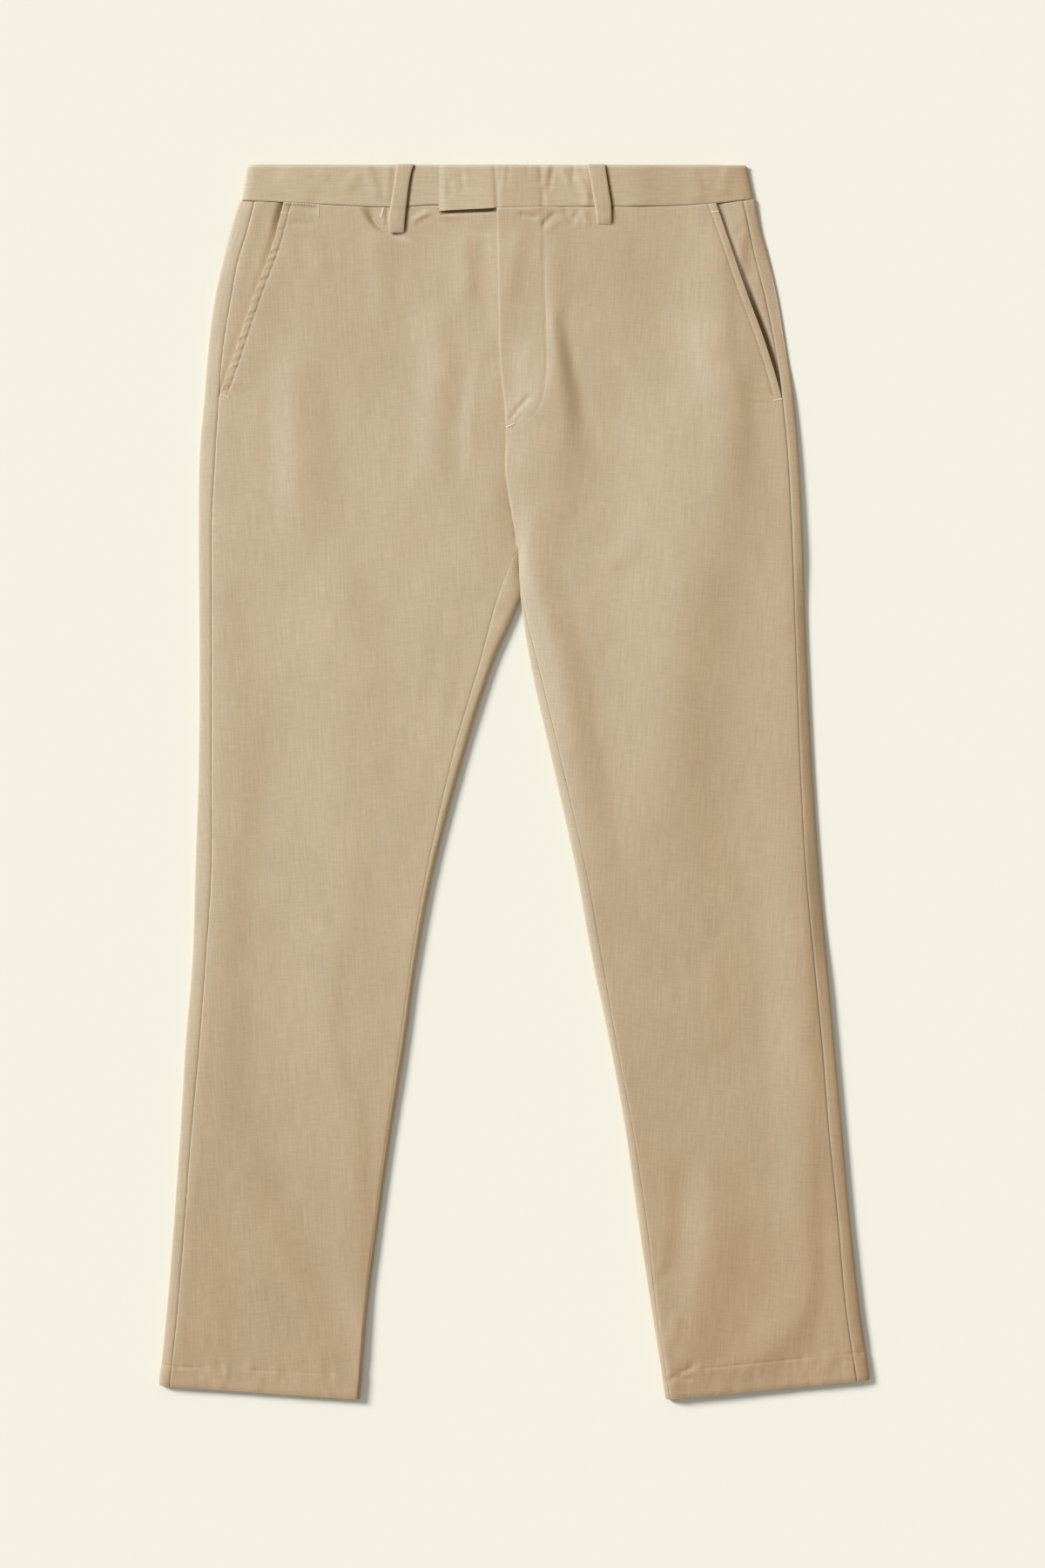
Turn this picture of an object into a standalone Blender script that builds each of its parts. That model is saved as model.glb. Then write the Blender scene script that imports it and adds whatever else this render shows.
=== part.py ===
"""Chino trousers laid flat on their back, front side up.

The origin lies under the middle of the garment, on the surface that it rests on. +Y points to the
waistband, +X to the wearer's left and +Z up. Every piece of cloth is one wall of its own: an outer
surface that is worked out from the seam tables below, given its thickness inwards by Solidify.
"down" is always the distance from the top edge of the waistband towards the hems.
"""

import math
from collections import namedtuple

import bmesh
import bpy

# Driving dimensions, in metres
LENGTH = 1.0635  # top edge of the waistband to the lowest point of the hems
TOP_Y = LENGTH / 2
CLOTH = 0.0012  # wall of a panel
BAND_CLOTH = 0.0020  # waistband: cloth, interfacing and its turned-in inner half
LOOP_CLOTH = 0.0015  # belt loop: a folded strip
SEAM_GAP = 0.0003  # between any two pieces
LEG_HEIGHT = 0.0060  # a flattened leg, over both layers
WAIST_EXTRA = 0.0006  # how much higher the front lies at the waist seam
WAIST_EXTRA_REACH = 0.090
BAND_TOP = 0.0070  # upper face of the front waistband
BACK_LIFT = LOOP_CLOTH + SEAM_GAP  # the back waistband lies on the back belt loops
PANEL_LIFT = 0.0020  # the back panels rise to meet the back waistband
LIFT_FULL_TO = 0.058
LIFT_GONE_AT = 0.115
HEM_DEPTH = 0.0200
HEM_CLOTH = 0.0022  # the turned-up hem doubles the wall
HEM_TILT_FROM = 0.600  # below here the rows tilt until they reach the slanted hem
ROLL_ACROSS = 0.0060  # width of the soft roll of the upper layer into a side fold
ROLL_UNDER = 0.0030  # width of the tighter turn at the floor
BAND_ROLL = 0.0030
ROLL_STEPS = 6  # segments of the half turn round a fold
LAP_RAISE = 0.0015  # the fly lies this much higher, over the underlap
LAP_FADE = 0.0120
FLY_END = 0.228  # foot of the fly
FLY_FADE = 0.017  # the left front comes down level with the right one over this length
TAB_RAISE = 0.0023  # the closing tab lies this much higher, over the right waistband
TAB_LEVEL_TO = 0.0100
TAB_FADE = 0.0240
POCKET_DIP = 0.0015  # the facing lies this much lower than the pocket edge
POCKET_UNDERLAP = 0.0140  # how far the facing goes on below the front panel
LEAST_TURN = 0.0026  # narrowest strip of the back panel on top of an inner fold
CROTCH_RAMP_FROM = 0.3195  # here the back panel starts to rise into the inner fold
CROTCH_RAMP_TO = 0.3323
CROTCH_CLEAR = 0.0028  # the front panels stay this far from the back panels' rising edge
FLAT_SQUEEZE = 0.5  # spacing of the turn's columns where they still lie flat
LOOP_WIDTH = 0.0140
LOOP_ARCH = 0.0014  # the middle of a front belt loop stands off the waistband

# Stations of the sections, as distances down
STATIONS = (
    0.036, 0.046, 0.060, 0.078, 0.098, 0.120, 0.145, 0.170, 0.190, 0.205, FLY_END,
    FLY_END + FLY_FADE, 0.268, 0.292, CROTCH_RAMP_FROM, 0.3285, CROTCH_RAMP_TO, 0.350, 0.3735,
    0.410, 0.460, 0.520, 0.590, 0.670, 0.760, 0.850, 0.940, 1.010,
    LENGTH - HEM_DEPTH - 0.001, LENGTH - HEM_DEPTH, LENGTH,
)

# Outer side of each leg: its fold, and the side seam, which lies on top, just inside the fold
SideRow = namedtuple("SideRow", "down fold seam")
RIGHT_SIDE = (
    SideRow(0.032, -0.2355, -0.2230),
    SideRow(0.053, -0.2430, -0.2292),
    SideRow(0.083, -0.2505, -0.2385),
    SideRow(0.113, -0.2572, -0.2441),
    SideRow(0.158, -0.2632, -0.2515),
    SideRow(0.200, -0.2666, -0.2550),
    SideRow(0.248, -0.2706, -0.2580),
    SideRow(0.308, -0.2716, -0.2610),
    SideRow(0.430, -0.2709, -0.2610),
    SideRow(0.520, -0.2716, -0.2612),
    SideRow(0.608, -0.2745, -0.2614),
    SideRow(0.683, -0.2768, -0.2662),
    SideRow(0.758, -0.2828, -0.2718),
    SideRow(0.833, -0.2873, -0.2786),
    SideRow(0.908, -0.2925, -0.2842),
    SideRow(0.983, -0.2985, -0.2903),
    SideRow(1.0485, -0.30525, -0.2970),
)
LEFT_SIDE = (
    SideRow(0.029, 0.2060, 0.1948),
    SideRow(0.053, 0.2108, 0.2015),
    SideRow(0.083, 0.2190, 0.2083),
    SideRow(0.113, 0.2258, 0.2160),
    SideRow(0.158, 0.2333, 0.2250),
    SideRow(0.200, 0.2396, 0.2308),
    SideRow(0.248, 0.2438, 0.2355),
    SideRow(0.308, 0.2468, 0.2388),
    SideRow(0.430, 0.2513, 0.2432),
    SideRow(0.520, 0.2558, 0.2465),
    SideRow(0.608, 0.2618, 0.2512),
    SideRow(0.683, 0.2680, 0.2580),
    SideRow(0.758, 0.2745, 0.2652),
    SideRow(0.833, 0.2813, 0.2712),
    SideRow(0.908, 0.2880, 0.2788),
    SideRow(0.983, 0.2962, 0.2855),
    SideRow(1.0466, 0.30525, 0.2950),
)

# Inner side of each leg, from the crotch down: its fold and the inseam
RIGHT_INNER = (
    SideRow(0.330, 0.0030, 0.0000),
    SideRow(0.345, 0.0036, -0.0045),
    SideRow(0.3735, 0.0048, -0.0152),
    SideRow(0.4285, -0.0180, -0.0300),
    SideRow(0.503, -0.0420, -0.0518),
    SideRow(0.608, -0.0698, -0.0756),
    SideRow(0.683, -0.0840, -0.0885),
    SideRow(0.758, -0.0945, -0.0990),
    SideRow(0.833, -0.1065, -0.1100),
    SideRow(0.908, -0.1170, -0.1202),
    SideRow(0.983, -0.1267, -0.1298),
    SideRow(1.0635, -0.1335, -0.1366),
)
LEFT_INNER = (
    SideRow(0.330, 0.0030, 0.0058),
    SideRow(0.345, 0.0036, 0.0066),
    SideRow(0.3735, 0.0052, 0.0084),
    SideRow(0.4285, 0.0135, 0.0195),
    SideRow(0.503, 0.0300, 0.0375),
    SideRow(0.608, 0.0533, 0.0615),
    SideRow(0.683, 0.0668, 0.0750),
    SideRow(0.758, 0.0825, 0.0878),
    SideRow(0.833, 0.0960, 0.1020),
    SideRow(0.908, 0.1065, 0.1132),
    SideRow(0.983, 0.1178, 0.1215),
    SideRow(1.0635, 0.1305, 0.1338),
)

# Centre front: the fly's outer edge, then the rise seam, and how far the right front goes on below
CentreRow = namedtuple("CentreRow", "down edge lap")
CENTRE_FRONT = (
    CentreRow(0.034, -0.0150, 0.0280),
    CentreRow(0.113, -0.0135, 0.0280),
    CentreRow(0.166, -0.0128, 0.0260),
    CentreRow(0.205, -0.0090, 0.0120),
    CentreRow(0.228, -0.0076, 0.0000),
    CentreRow(0.262, -0.0082, 0.0000),
    CentreRow(0.290, -0.0045, 0.0000),
    CentreRow(0.3195, 0.0006, 0.0000),
    CentreRow(0.3323, 0.0032, 0.0000),
)
CENTRE_BACK_TOP = 0.0  # the centre back seam starts here and ends at the fork of the legs
CENTRE_BACK_FORK = 0.0050
FORK_DOWN = 0.3735

# Mouth of each slanted pocket: the edge of the front panel from the waist seam to the side seam
MouthRow = namedtuple("MouthRow", "down edge")
RIGHT_MOUTH = (
    MouthRow(0.033, -0.1980),
    MouthRow(0.074, -0.2103),
    MouthRow(0.107, -0.2227),
    MouthRow(0.142, -0.2348),
    MouthRow(0.167, -0.2430),
    MouthRow(0.198, -0.2540),
)
LEFT_MOUTH = (
    MouthRow(0.033, 0.1738),
    MouthRow(0.054, 0.1800),
    MouthRow(0.093, 0.1950),
    MouthRow(0.120, 0.2040),
    MouthRow(0.140, 0.2136),
    MouthRow(0.173, 0.2248),
    MouthRow(0.200, 0.2306),
)

# Waist seam across the front, and the lower edge of the closing tab
SeamRow = namedtuple("SeamRow", "across down")
WAIST_SEAM = (
    SeamRow(-0.2360, 0.0308),
    SeamRow(-0.1990, 0.0323),
    SeamRow(-0.1080, 0.0364),
    SeamRow(-0.0660, 0.0345),
    SeamRow(-0.0140, 0.0372),
    SeamRow(0.0250, 0.0360),
    SeamRow(0.1200, 0.0354),
    SeamRow(0.1680, 0.0334),
    SeamRow(0.2065, 0.0289),
)
TAB_END = -0.0653
TAB_DROP = 0.0056  # the tab's lower corner hangs this much below the waist seam
FLY_TOP = -0.0155  # just outside the fly's edge at the waist seam
BAND_TOP_RIGHT = -0.2280  # side folds of the waistband at its top edge
BAND_TOP_LEFT = 0.2000
UNDER_TAB_END = 0.0050  # the right waistband goes on below the tab to here
# x of the waistbands' sections across the front, from the front end to the side
RIGHT_BAND_STOPS = (
    UNDER_TAB_END, -0.014, -0.027, -0.040, -0.053, -0.066, -0.080, -0.094, -0.108, -0.130,
    -0.155, -0.180, -0.204,
)
LEFT_BAND_STOPS = (
    TAB_END, -0.040, FLY_TOP, -0.003, TAB_LEVEL_TO, 0.022, 0.034, 0.060, 0.090, 0.120, 0.144,
    0.168, 0.184,
)

# Largest soft folds of the front: a ridge is higher, a trough lower, than the cloth around it
Fold = namedtuple("Fold", "x_high down_high x_low down_low half_width height")
FOLDS = (
    Fold(0.0440, 0.110, 0.0500, 0.250, 0.016, -0.0008),
    Fold(0.0270, 0.080, 0.0340, 0.210, 0.014, 0.0005),
    Fold(-0.1700, 0.070, -0.1560, 0.260, 0.028, -0.0007),
    Fold(-0.0800, 0.090, -0.0700, 0.330, 0.030, 0.0006),
    Fold(-0.2350, 0.380, -0.2300, 0.620, 0.022, -0.0006),
    Fold(0.0560, 0.380, 0.0900, 0.560, 0.022, -0.0007),
    Fold(0.1000, 0.400, 0.1500, 0.800, 0.030, 0.0006),
    Fold(0.1450, 0.070, 0.1750, 0.300, 0.030, 0.0006),
    Fold(-0.1500, 0.450, -0.1900, 0.900, 0.034, 0.0006),
)

# Belt loops: across at the top end, across at the lower end, lower end down
LoopRow = namedtuple("LoopRow", "name top low end")
LOOP_PROUD = 0.0006  # the loops' folded tops stand this far above the waistband
FRONT_LOOPS = (
    LoopRow("belt_loop_front_right", -0.0955, -0.1028, 0.0578),
    LoopRow("belt_loop_front_left", 0.0705, 0.0772, 0.0514),
)
BACK_LOOPS = (
    LoopRow("belt_loop_back_right", -0.1150, -0.1150, 0.0540),
    LoopRow("belt_loop_back_centre", 0.0000, 0.0000, 0.0540),
    LoopRow("belt_loop_back_left", 0.1150, 0.1150, 0.0540),
)

COTTON_TWILL = (0.56, 0.44, 0.29, 1.0)
Leg = namedtuple("Leg", "name sign side inner mouth hem_rise")
RIGHT_LEG = Leg("right", -1, RIGHT_SIDE, RIGHT_INNER, RIGHT_MOUTH, 0.0150)
LEFT_LEG = Leg("left", 1, LEFT_SIDE, LEFT_INNER, LEFT_MOUTH, 0.0169)


def smooth(t):
    """0 up to 1 with level ends, clamped outside."""
    t = min(max(t, 0.0), 1.0)
    return t * t * (3 - 2 * t)


def mix(a, b, t):
    return a + (b - a) * t


def read(table, at, column):
    """The named column on a smooth curve through the table's rows; the first column is the place."""
    places = [row[0] for row in table]
    values = [getattr(row, column) for row in table]
    last = len(table) - 1
    if at <= places[0]:
        return values[0]
    if at >= places[last]:
        return values[last]
    i = max(k for k in range(last) if places[k] <= at)

    def slope(k):
        low, high = max(k - 1, 0), min(k + 1, last)
        return (values[high] - values[low]) / (places[high] - places[low])

    step = places[i + 1] - places[i]
    t = (at - places[i]) / step
    return (
        values[i] * (1 + 2 * t) * (1 - t) ** 2
        + slope(i) * step * t * (1 - t) ** 2
        + values[i + 1] * (3 - 2 * t) * t * t
        - slope(i + 1) * step * t * t * (1 - t)
    )


def waist_seam(x, on_back=False):
    """Down to the waist seam: it waves across the front, and runs straight across the back."""
    if on_back:
        right, left = WAIST_SEAM[0], WAIST_SEAM[-1]
        share = (x - right.across) / (left.across - right.across)
        return mix(right.down, left.down, share)
    return read(WAIST_SEAM, x, "down")


def front_height(x, down):
    """Upper face of the front of the trousers, with its soft folds."""
    height = LEG_HEIGHT + WAIST_EXTRA * (1 - smooth((down - 0.034) / WAIST_EXTRA_REACH))
    for fold in FOLDS:
        t = (down - fold.down_high) / (fold.down_low - fold.down_high)
        middle = mix(fold.x_high, fold.x_low, t)
        fade = smooth(t / 0.25) * smooth((1 - t) / 0.25)
        height += fold.height * fade * math.exp(-(((x - middle) / fold.half_width) ** 2))
    return height


def back_height(down):
    """Lower face of the back: on the floor, but lifted at the waist by the back belt loops."""
    span = LIFT_GONE_AT - LIFT_FULL_TO
    return PANEL_LIFT * (1 - smooth((down - LIFT_FULL_TO) / span))


def centre_back(down):
    return mix(CENTRE_BACK_TOP, CENTRE_BACK_FORK, down / FORK_DOWN)


def tilted(down, across, leg):
    """The rows tilt towards the hem, which rises from the inner fold (across 1) to the outer (0)."""
    tilt = smooth((down - HEM_TILT_FROM) / (LENGTH - HEM_TILT_FROM))
    return down - tilt * leg.hem_rise * (1 - across)


def top_row(x, down, on_back=False):
    """The first row of a panel follows the waist seam, a little below it."""
    return waist_seam(x, on_back) + SEAM_GAP / 2 if down == STATIONS[0] else down


def roll(fold_x, inward, turn, under, top_z, floor_z):
    """Points of the outer surface round a fold, from its upper end to the floor, as (x, z).

    inward is +1 where the garment lies to the right of the fold, -1 where it lies to the left.
    """
    middle = (top_z + floor_z) / 2
    points = []
    for step in range(ROLL_STEPS + 1):
        angle = math.pi * (0.5 - step / ROLL_STEPS)
        width = turn if angle > 0 else under
        x = fold_x + inward * width * (1 - math.cos(angle))
        z = middle + (top_z - middle) * math.sin(angle)
        points.append((x, z))
    return points


def wall(name, place, columns, rows, thickness, colour=COTTON_TWILL, hem_rows=0):
    """A piece of cloth: a grid laid by place(column, row), thickened inwards.

    Rows count up from the hem, and the lowest hem_rows get the doubled wall of the hem.
    """
    shell = bmesh.new()
    bmesh.ops.create_grid(shell, x_segments=columns - 1, y_segments=rows - 1, size=0.5)
    hem = []
    shell.verts.index_update()
    for vertex in shell.verts:
        column = round((vertex.co.x + 0.5) * (columns - 1))
        row = round((vertex.co.y + 0.5) * (rows - 1))
        vertex.co = place(column, row)
        if row < hem_rows:
            hem.append(vertex.index)
    mesh = bpy.data.meshes.new(name)
    shell.to_mesh(mesh)
    shell.free()
    mesh.materials.append(cloth_material(name, colour))
    piece = bpy.data.objects.new(name, mesh)
    bpy.context.scene.collection.objects.link(piece)
    solid = piece.modifiers.new("thickness", "SOLIDIFY")
    solid.thickness = thickness
    solid.offset = -1.0
    solid.use_even_offset = True
    if hem:
        doubled = piece.vertex_groups.new(name="hem")
        doubled.add(hem, 1.0, "REPLACE")
        solid.thickness = HEM_CLOTH
        solid.vertex_group = doubled.name
        solid.thickness_vertex_group = thickness / HEM_CLOTH
    return piece


def cloth_material(name, colour):
    material = bpy.data.materials.new(name + "_cotton")
    material.use_nodes = True
    shader = material.node_tree.nodes["Principled BSDF"]
    shader.inputs["Base Color"].default_value = colour
    shader.inputs["Roughness"].default_value = 0.9
    shader.inputs["Metallic"].default_value = 0.0
    return material


def station(row):
    """Rows count up from the hem; the stations are listed from the waist."""
    return STATIONS[len(STATIONS) - 1 - row]


def turn_width(seam_x, fold_x):
    """The soft roll is as wide as the strip between fold and seam lets it be."""
    return min(ROLL_ACROSS, abs(seam_x - fold_x) - SEAM_GAP)


def inner_seam(leg, down):
    """Fold and inseam of the leg's inner side, at least the narrowest turn apart."""
    fold_x = read(leg.inner, down, "fold") + leg.sign * SEAM_GAP / 2
    seam_x = read(leg.inner, down, "seam")
    if abs(seam_x - fold_x) < LEAST_TURN:
        seam_x = fold_x + leg.sign * LEAST_TURN
    return fold_x, seam_x


def back_section(leg, down):
    """(x, z, across) of the back panel's outer surface: inseam, inner fold, floor, outer fold, side seam."""
    floor_z = back_height(down)
    fold_x = read(leg.side, tilted(down, 0, leg), "fold")
    seam_x = read(leg.side, tilted(down, 0, leg), "seam")
    outer = roll(
        fold_x,
        -leg.sign,
        turn_width(seam_x, fold_x),
        ROLL_UNDER,
        front_height(seam_x, down),
        floor_z,
    )
    outer.insert(0, (seam_x + leg.sign * SEAM_GAP / 2, front_height(seam_x, down)))

    fold_in, seam_in = inner_seam(leg, max(down, CROTCH_RAMP_TO))
    turned = roll(
        fold_in,
        leg.sign,
        turn_width(seam_in, fold_in),
        LEAST_TURN,
        front_height(seam_in, down),
        floor_z,
    )
    turned.insert(0, (seam_in - leg.sign * SEAM_GAP / 2, front_height(seam_in, down)))
    end_x = centre_back(down) + leg.sign * SEAM_GAP / 2
    run, flat = 0.0, []
    for k, (x, z) in enumerate(turned):
        if k:
            run += math.dist((x, z), turned[k - 1])
        flat.append((end_x + leg.sign * FLAT_SQUEEZE * run, floor_z))
    rise = (down - CROTCH_RAMP_FROM) / (CROTCH_RAMP_TO - CROTCH_RAMP_FROM)
    rise = min(max(rise, 0.0), 1.0)
    inner = [(mix(a[0], b[0], rise), mix(a[1], b[1], rise)) for a, b in zip(flat, turned)]

    start, stop = inner[-1][0], outer[-1][0]
    floor = [(mix(start, stop, t), floor_z) for t in (1 / 3, 2 / 3)]
    section = inner + floor + outer[::-1]
    reach = fold_x - fold_in if rise == 1 else fold_x - end_x
    return [(x, z, min(max((fold_x - x) / reach, 0.0), 1.0)) for x, z in section]


def make_back(leg):
    sections = [back_section(leg, down) for down in STATIONS]
    columns = len(sections[0])

    def place(column, row):
        down = station(row)
        section = sections[len(STATIONS) - 1 - row]
        # Columns run so that the outer surface faces out: from the inseam on the right leg,
        # from the side seam on the left one.
        x, z, across = section[column if leg.sign < 0 else columns - 1 - column]
        on_back = z < LEG_HEIGHT / 2
        return x, TOP_Y - tilted(top_row(x, down, on_back), across, leg), z

    wall("back_" + leg.name, place, columns, len(STATIONS), CLOTH, hem_rows=2)


def front_edges(leg, down):
    """x of the front panel's outer and inner edges at this station."""
    seam_x = read(leg.side, tilted(down, 0, leg), "seam")
    mouth_x = read(leg.mouth, down, "edge")
    in_pocket = down < leg.mouth[-1].down
    outer = (mouth_x if in_pocket else seam_x) - leg.sign * SEAM_GAP / 2
    if down < CROTCH_RAMP_TO:
        inner = read(CENTRE_FRONT, down, "edge") + leg.sign * SEAM_GAP / 2
        if leg.sign < 0:
            inner += read(CENTRE_FRONT, down, "lap")
        if down > CROTCH_RAMP_FROM:
            inner += leg.sign * CROTCH_CLEAR
    else:
        inner = inner_seam(leg, down)[1] + leg.sign * SEAM_GAP / 2
    return outer, inner


def fly_raise(x, down):
    """How much higher the left front lies, where the right one goes on below it."""
    lap = read(CENTRE_FRONT, down, "lap")
    level_to = read(CENTRE_FRONT, down, "edge") + lap + 2 * CLOTH
    along = 1 - smooth((down - FLY_END) / FLY_FADE)
    return LAP_RAISE * along * (1 - smooth((x - level_to) / LAP_FADE))


def front_columns(leg, down):
    """x of each column, from the outer edge to the inner one."""
    outer, inner = front_edges(leg, down)
    if leg.sign < 0:
        shares = [k / 12 for k in range(13)]
        return [mix(outer, inner, share) for share in shares]
    lap = read(CENTRE_FRONT, down, "lap")
    level_to = inner + max(lap, 0.006) + 2.5 * CLOTH
    foot = level_to + LAP_FADE
    spread = [mix(outer, foot, k / 10) for k in range(11)]
    return spread + [mix(foot, level_to, 0.5), level_to, inner]


def make_front(leg):
    rows = [front_columns(leg, down) for down in STATIONS]
    columns = len(rows[0])

    def place(column, row):
        down = station(row)
        index = column if leg.sign < 0 else columns - 1 - column
        x = rows[len(STATIONS) - 1 - row][index]
        z = front_height(x, down)
        if leg.sign > 0:
            z += fly_raise(x, down)
        fold_x = read(leg.side, tilted(down, 0, leg), "fold")
        fold_in = inner_seam(leg, max(down, CROTCH_RAMP_TO))[0]
        across = min(max((fold_x - x) / (fold_x - fold_in), 0.0), 1.0)
        return x, TOP_Y - tilted(top_row(x, down), across, leg), z

    wall("front_" + leg.name, place, columns, len(STATIONS), CLOTH, hem_rows=2)


def make_pocket_facing(leg):
    """The hip piece behind the pocket mouth, from the side seam to below the front panel."""
    stations = [down for down in STATIONS if down < leg.mouth[-1].down]
    shares = (0.0, 0.5, 1.0)

    def place(column, row):
        down = stations[len(stations) - 1 - row]
        seam_x = read(leg.side, down, "seam") - leg.sign * SEAM_GAP / 2
        mouth_x = read(leg.mouth, down, "edge")
        visible = [mix(seam_x, mouth_x, share) for share in shares]
        line = visible + [mouth_x - leg.sign * POCKET_UNDERLAP]
        index = column if leg.sign < 0 else len(line) - 1 - column
        x = line[index]
        dip = POCKET_DIP * (0, 0.85, 1, 1)[index]
        # Where the mouth runs into the side seam the facing is below the panel from end to end.
        dip = max(dip, POCKET_DIP * (1 - smooth((abs(mouth_x - seam_x) - 0.002) / 0.006)))
        return x, TOP_Y - top_row(x, down), front_height(x, down) - dip

    wall("pocket_facing_" + leg.name, place, len(shares) + 1, len(stations), CLOTH)


def band_section(side, stops, fold_x):
    """(x, z) of the waistband's outer surface, from its front end round the side fold to centre back."""
    turn = roll(fold_x, -side, BAND_ROLL, BAND_ROLL, BAND_TOP, BACK_LIFT)
    end_x = CENTRE_BACK_TOP + side * SEAM_GAP / 2
    return (
        [(x, BAND_TOP) for x in stops]
        + turn
        + [(x, BACK_LIFT) for x in stops[:0:-1] if side * x > 0]
        + [(end_x, BACK_LIFT)]
    )


def make_waistband(name, side, stops, top_fold, low_fold):
    """A waistband half. The left one ends in the closing tab, which lies on the right one."""
    heights = 4
    columns = len(band_section(side, stops, top_fold))

    def place(column, row):
        share = row / (heights - 1)
        section = band_section(side, stops, mix(low_fold, top_fold, share))
        x, z = section[column if side > 0 else columns - 1 - column]
        on_back = z < (BAND_TOP + BACK_LIFT) / 2
        low = waist_seam(x, on_back) - SEAM_GAP / 2
        if side > 0 and not on_back:
            low += TAB_DROP * max((FLY_TOP - x) / (FLY_TOP - TAB_END), 0.0)
            z += TAB_RAISE * (1 - smooth((x - TAB_LEVEL_TO) / TAB_FADE))
        return x, TOP_Y - mix(low, 0.0, share), z

    wall(name, place, columns, heights, BAND_CLOTH)


def make_belt_loop(loop, on_front):
    """A strip from the waistband's top edge to a little below the waist seam."""
    rows = 8

    def place(column, row):
        share = row / (rows - 1)
        down = mix(loop.end, -LOOP_PROUD, share)
        middle = mix(loop.low, loop.top, share)
        edge = (column - 0.5) * LOOP_WIDTH * (1 if on_front else -1)
        arch = LOOP_ARCH * math.sin(math.pi * share)
        z = BAND_TOP + SEAM_GAP + arch + LOOP_CLOTH if on_front else 0.0
        return middle + edge, TOP_Y - down, z

    wall(loop.name, place, 2, rows, LOOP_CLOTH)


def main():
    for old in list(bpy.data.objects):
        bpy.data.objects.remove(old)
    for leg in (RIGHT_LEG, LEFT_LEG):
        make_back(leg)
        make_front(leg)
        make_pocket_facing(leg)
    right_low = read(RIGHT_SIDE, 0.032, "fold")
    left_low = read(LEFT_SIDE, 0.029, "fold")
    make_waistband("waistband_right", -1, RIGHT_BAND_STOPS, BAND_TOP_RIGHT, right_low)
    make_waistband("waistband_left", 1, LEFT_BAND_STOPS, BAND_TOP_LEFT, left_low)
    for loop in FRONT_LOOPS:
        make_belt_loop(loop, on_front=True)
    for loop in BACK_LOOPS:
        make_belt_loop(loop, on_front=False)


main()
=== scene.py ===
import math
from collections import namedtuple

import bmesh
import bpy
import numpy as np
from mathutils import Matrix, Vector
from mathutils.bvhtree import BVHTree


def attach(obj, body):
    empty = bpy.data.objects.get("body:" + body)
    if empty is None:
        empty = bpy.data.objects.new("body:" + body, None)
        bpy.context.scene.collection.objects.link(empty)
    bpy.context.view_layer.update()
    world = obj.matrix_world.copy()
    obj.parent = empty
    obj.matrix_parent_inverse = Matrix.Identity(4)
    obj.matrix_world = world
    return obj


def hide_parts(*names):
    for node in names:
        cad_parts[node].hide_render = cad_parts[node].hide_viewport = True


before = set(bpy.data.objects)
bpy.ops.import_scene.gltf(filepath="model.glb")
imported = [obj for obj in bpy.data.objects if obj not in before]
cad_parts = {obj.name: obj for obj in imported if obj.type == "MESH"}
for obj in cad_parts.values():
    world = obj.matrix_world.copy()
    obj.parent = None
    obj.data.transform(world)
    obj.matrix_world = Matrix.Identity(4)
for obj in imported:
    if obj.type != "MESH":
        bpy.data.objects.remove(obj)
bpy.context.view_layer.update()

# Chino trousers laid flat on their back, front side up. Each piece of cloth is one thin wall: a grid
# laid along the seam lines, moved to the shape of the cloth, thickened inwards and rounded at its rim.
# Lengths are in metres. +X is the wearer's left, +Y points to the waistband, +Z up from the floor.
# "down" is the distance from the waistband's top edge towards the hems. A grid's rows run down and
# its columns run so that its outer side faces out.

# A change along the garment: where it starts, and the distance over which it comes
Span = namedtuple("Span", "start over")

# Sizes of the garment: the outline is the solids' own, the heights and walls are a little finer
LENGTH = 1.0635
TOP_Y = LENGTH / 2
CLOTH = 0.0012
BAND_CLOTH = 0.0016
LOOP_CLOTH = 0.0010
RIM = 0.0004  # how far the edge of a piece is rounded
BAND_RIM = 0.0006
RIM_ANGLE = math.radians(50)  # an edge sharper than this is rounded

# How the cloth lies
LEG_HEIGHT = 0.0062
WAIST_EXTRA = 0.0005  # how much higher the legs lie at the waist
WAIST_EXTRA_END = Span(0.034, 0.090)
SETTLE = 0.0015  # how much lower the cloth lies at the left hip and the right leg's inner fold
SETTLE_END_RIGHT = Span(0.960, 0.070)
SETTLE_CROTCH_TO = 0.350  # on the left it ends this far down at the middle, and less far at the hip
SETTLE_HIP_TO = 0.130
SETTLE_HIP_AT = 0.200
SETTLE_LEFT_OVER = 0.240
HIP_FALL = 0.0014  # and how much more beside the left hip's fold
HIP_REACH = 0.045
HIP_FALL_END = Span(0.090, 0.170)
HALF_TURN = 0.5  # how high up its thickness a rounded fold turns
LOW_TURN = 0.30  # and a flattened one
LOW_TURN_END = Span(0.150, 0.200)

# The waistband, and what the back belt loops lift off the floor
LIFT_SIDE_FROM = 0.150  # the left side lies down on the floor beyond the back belt loop
LIFT_SIDE_REACH = 0.045
BAND_TURN_RIGHT = 0.0085
BAND_TURN_LEFT = 0.0125
BAND_TOP = 0.0072
BACK_LIFT = 0.0018
PANEL_LIFT = 0.0020
LIFT_FULL_TO = 0.058
LIFT_GONE_AT = 0.115
BAND_ROLL = 0.0030
BAND_EDGE_TURN = 0.0009  # how far its top edge turns down, and over what distance
BAND_EDGE_OVER = 0.0026
BAND_END_TURN = 0.0007
BAND_END_OVER = 0.0050

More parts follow.
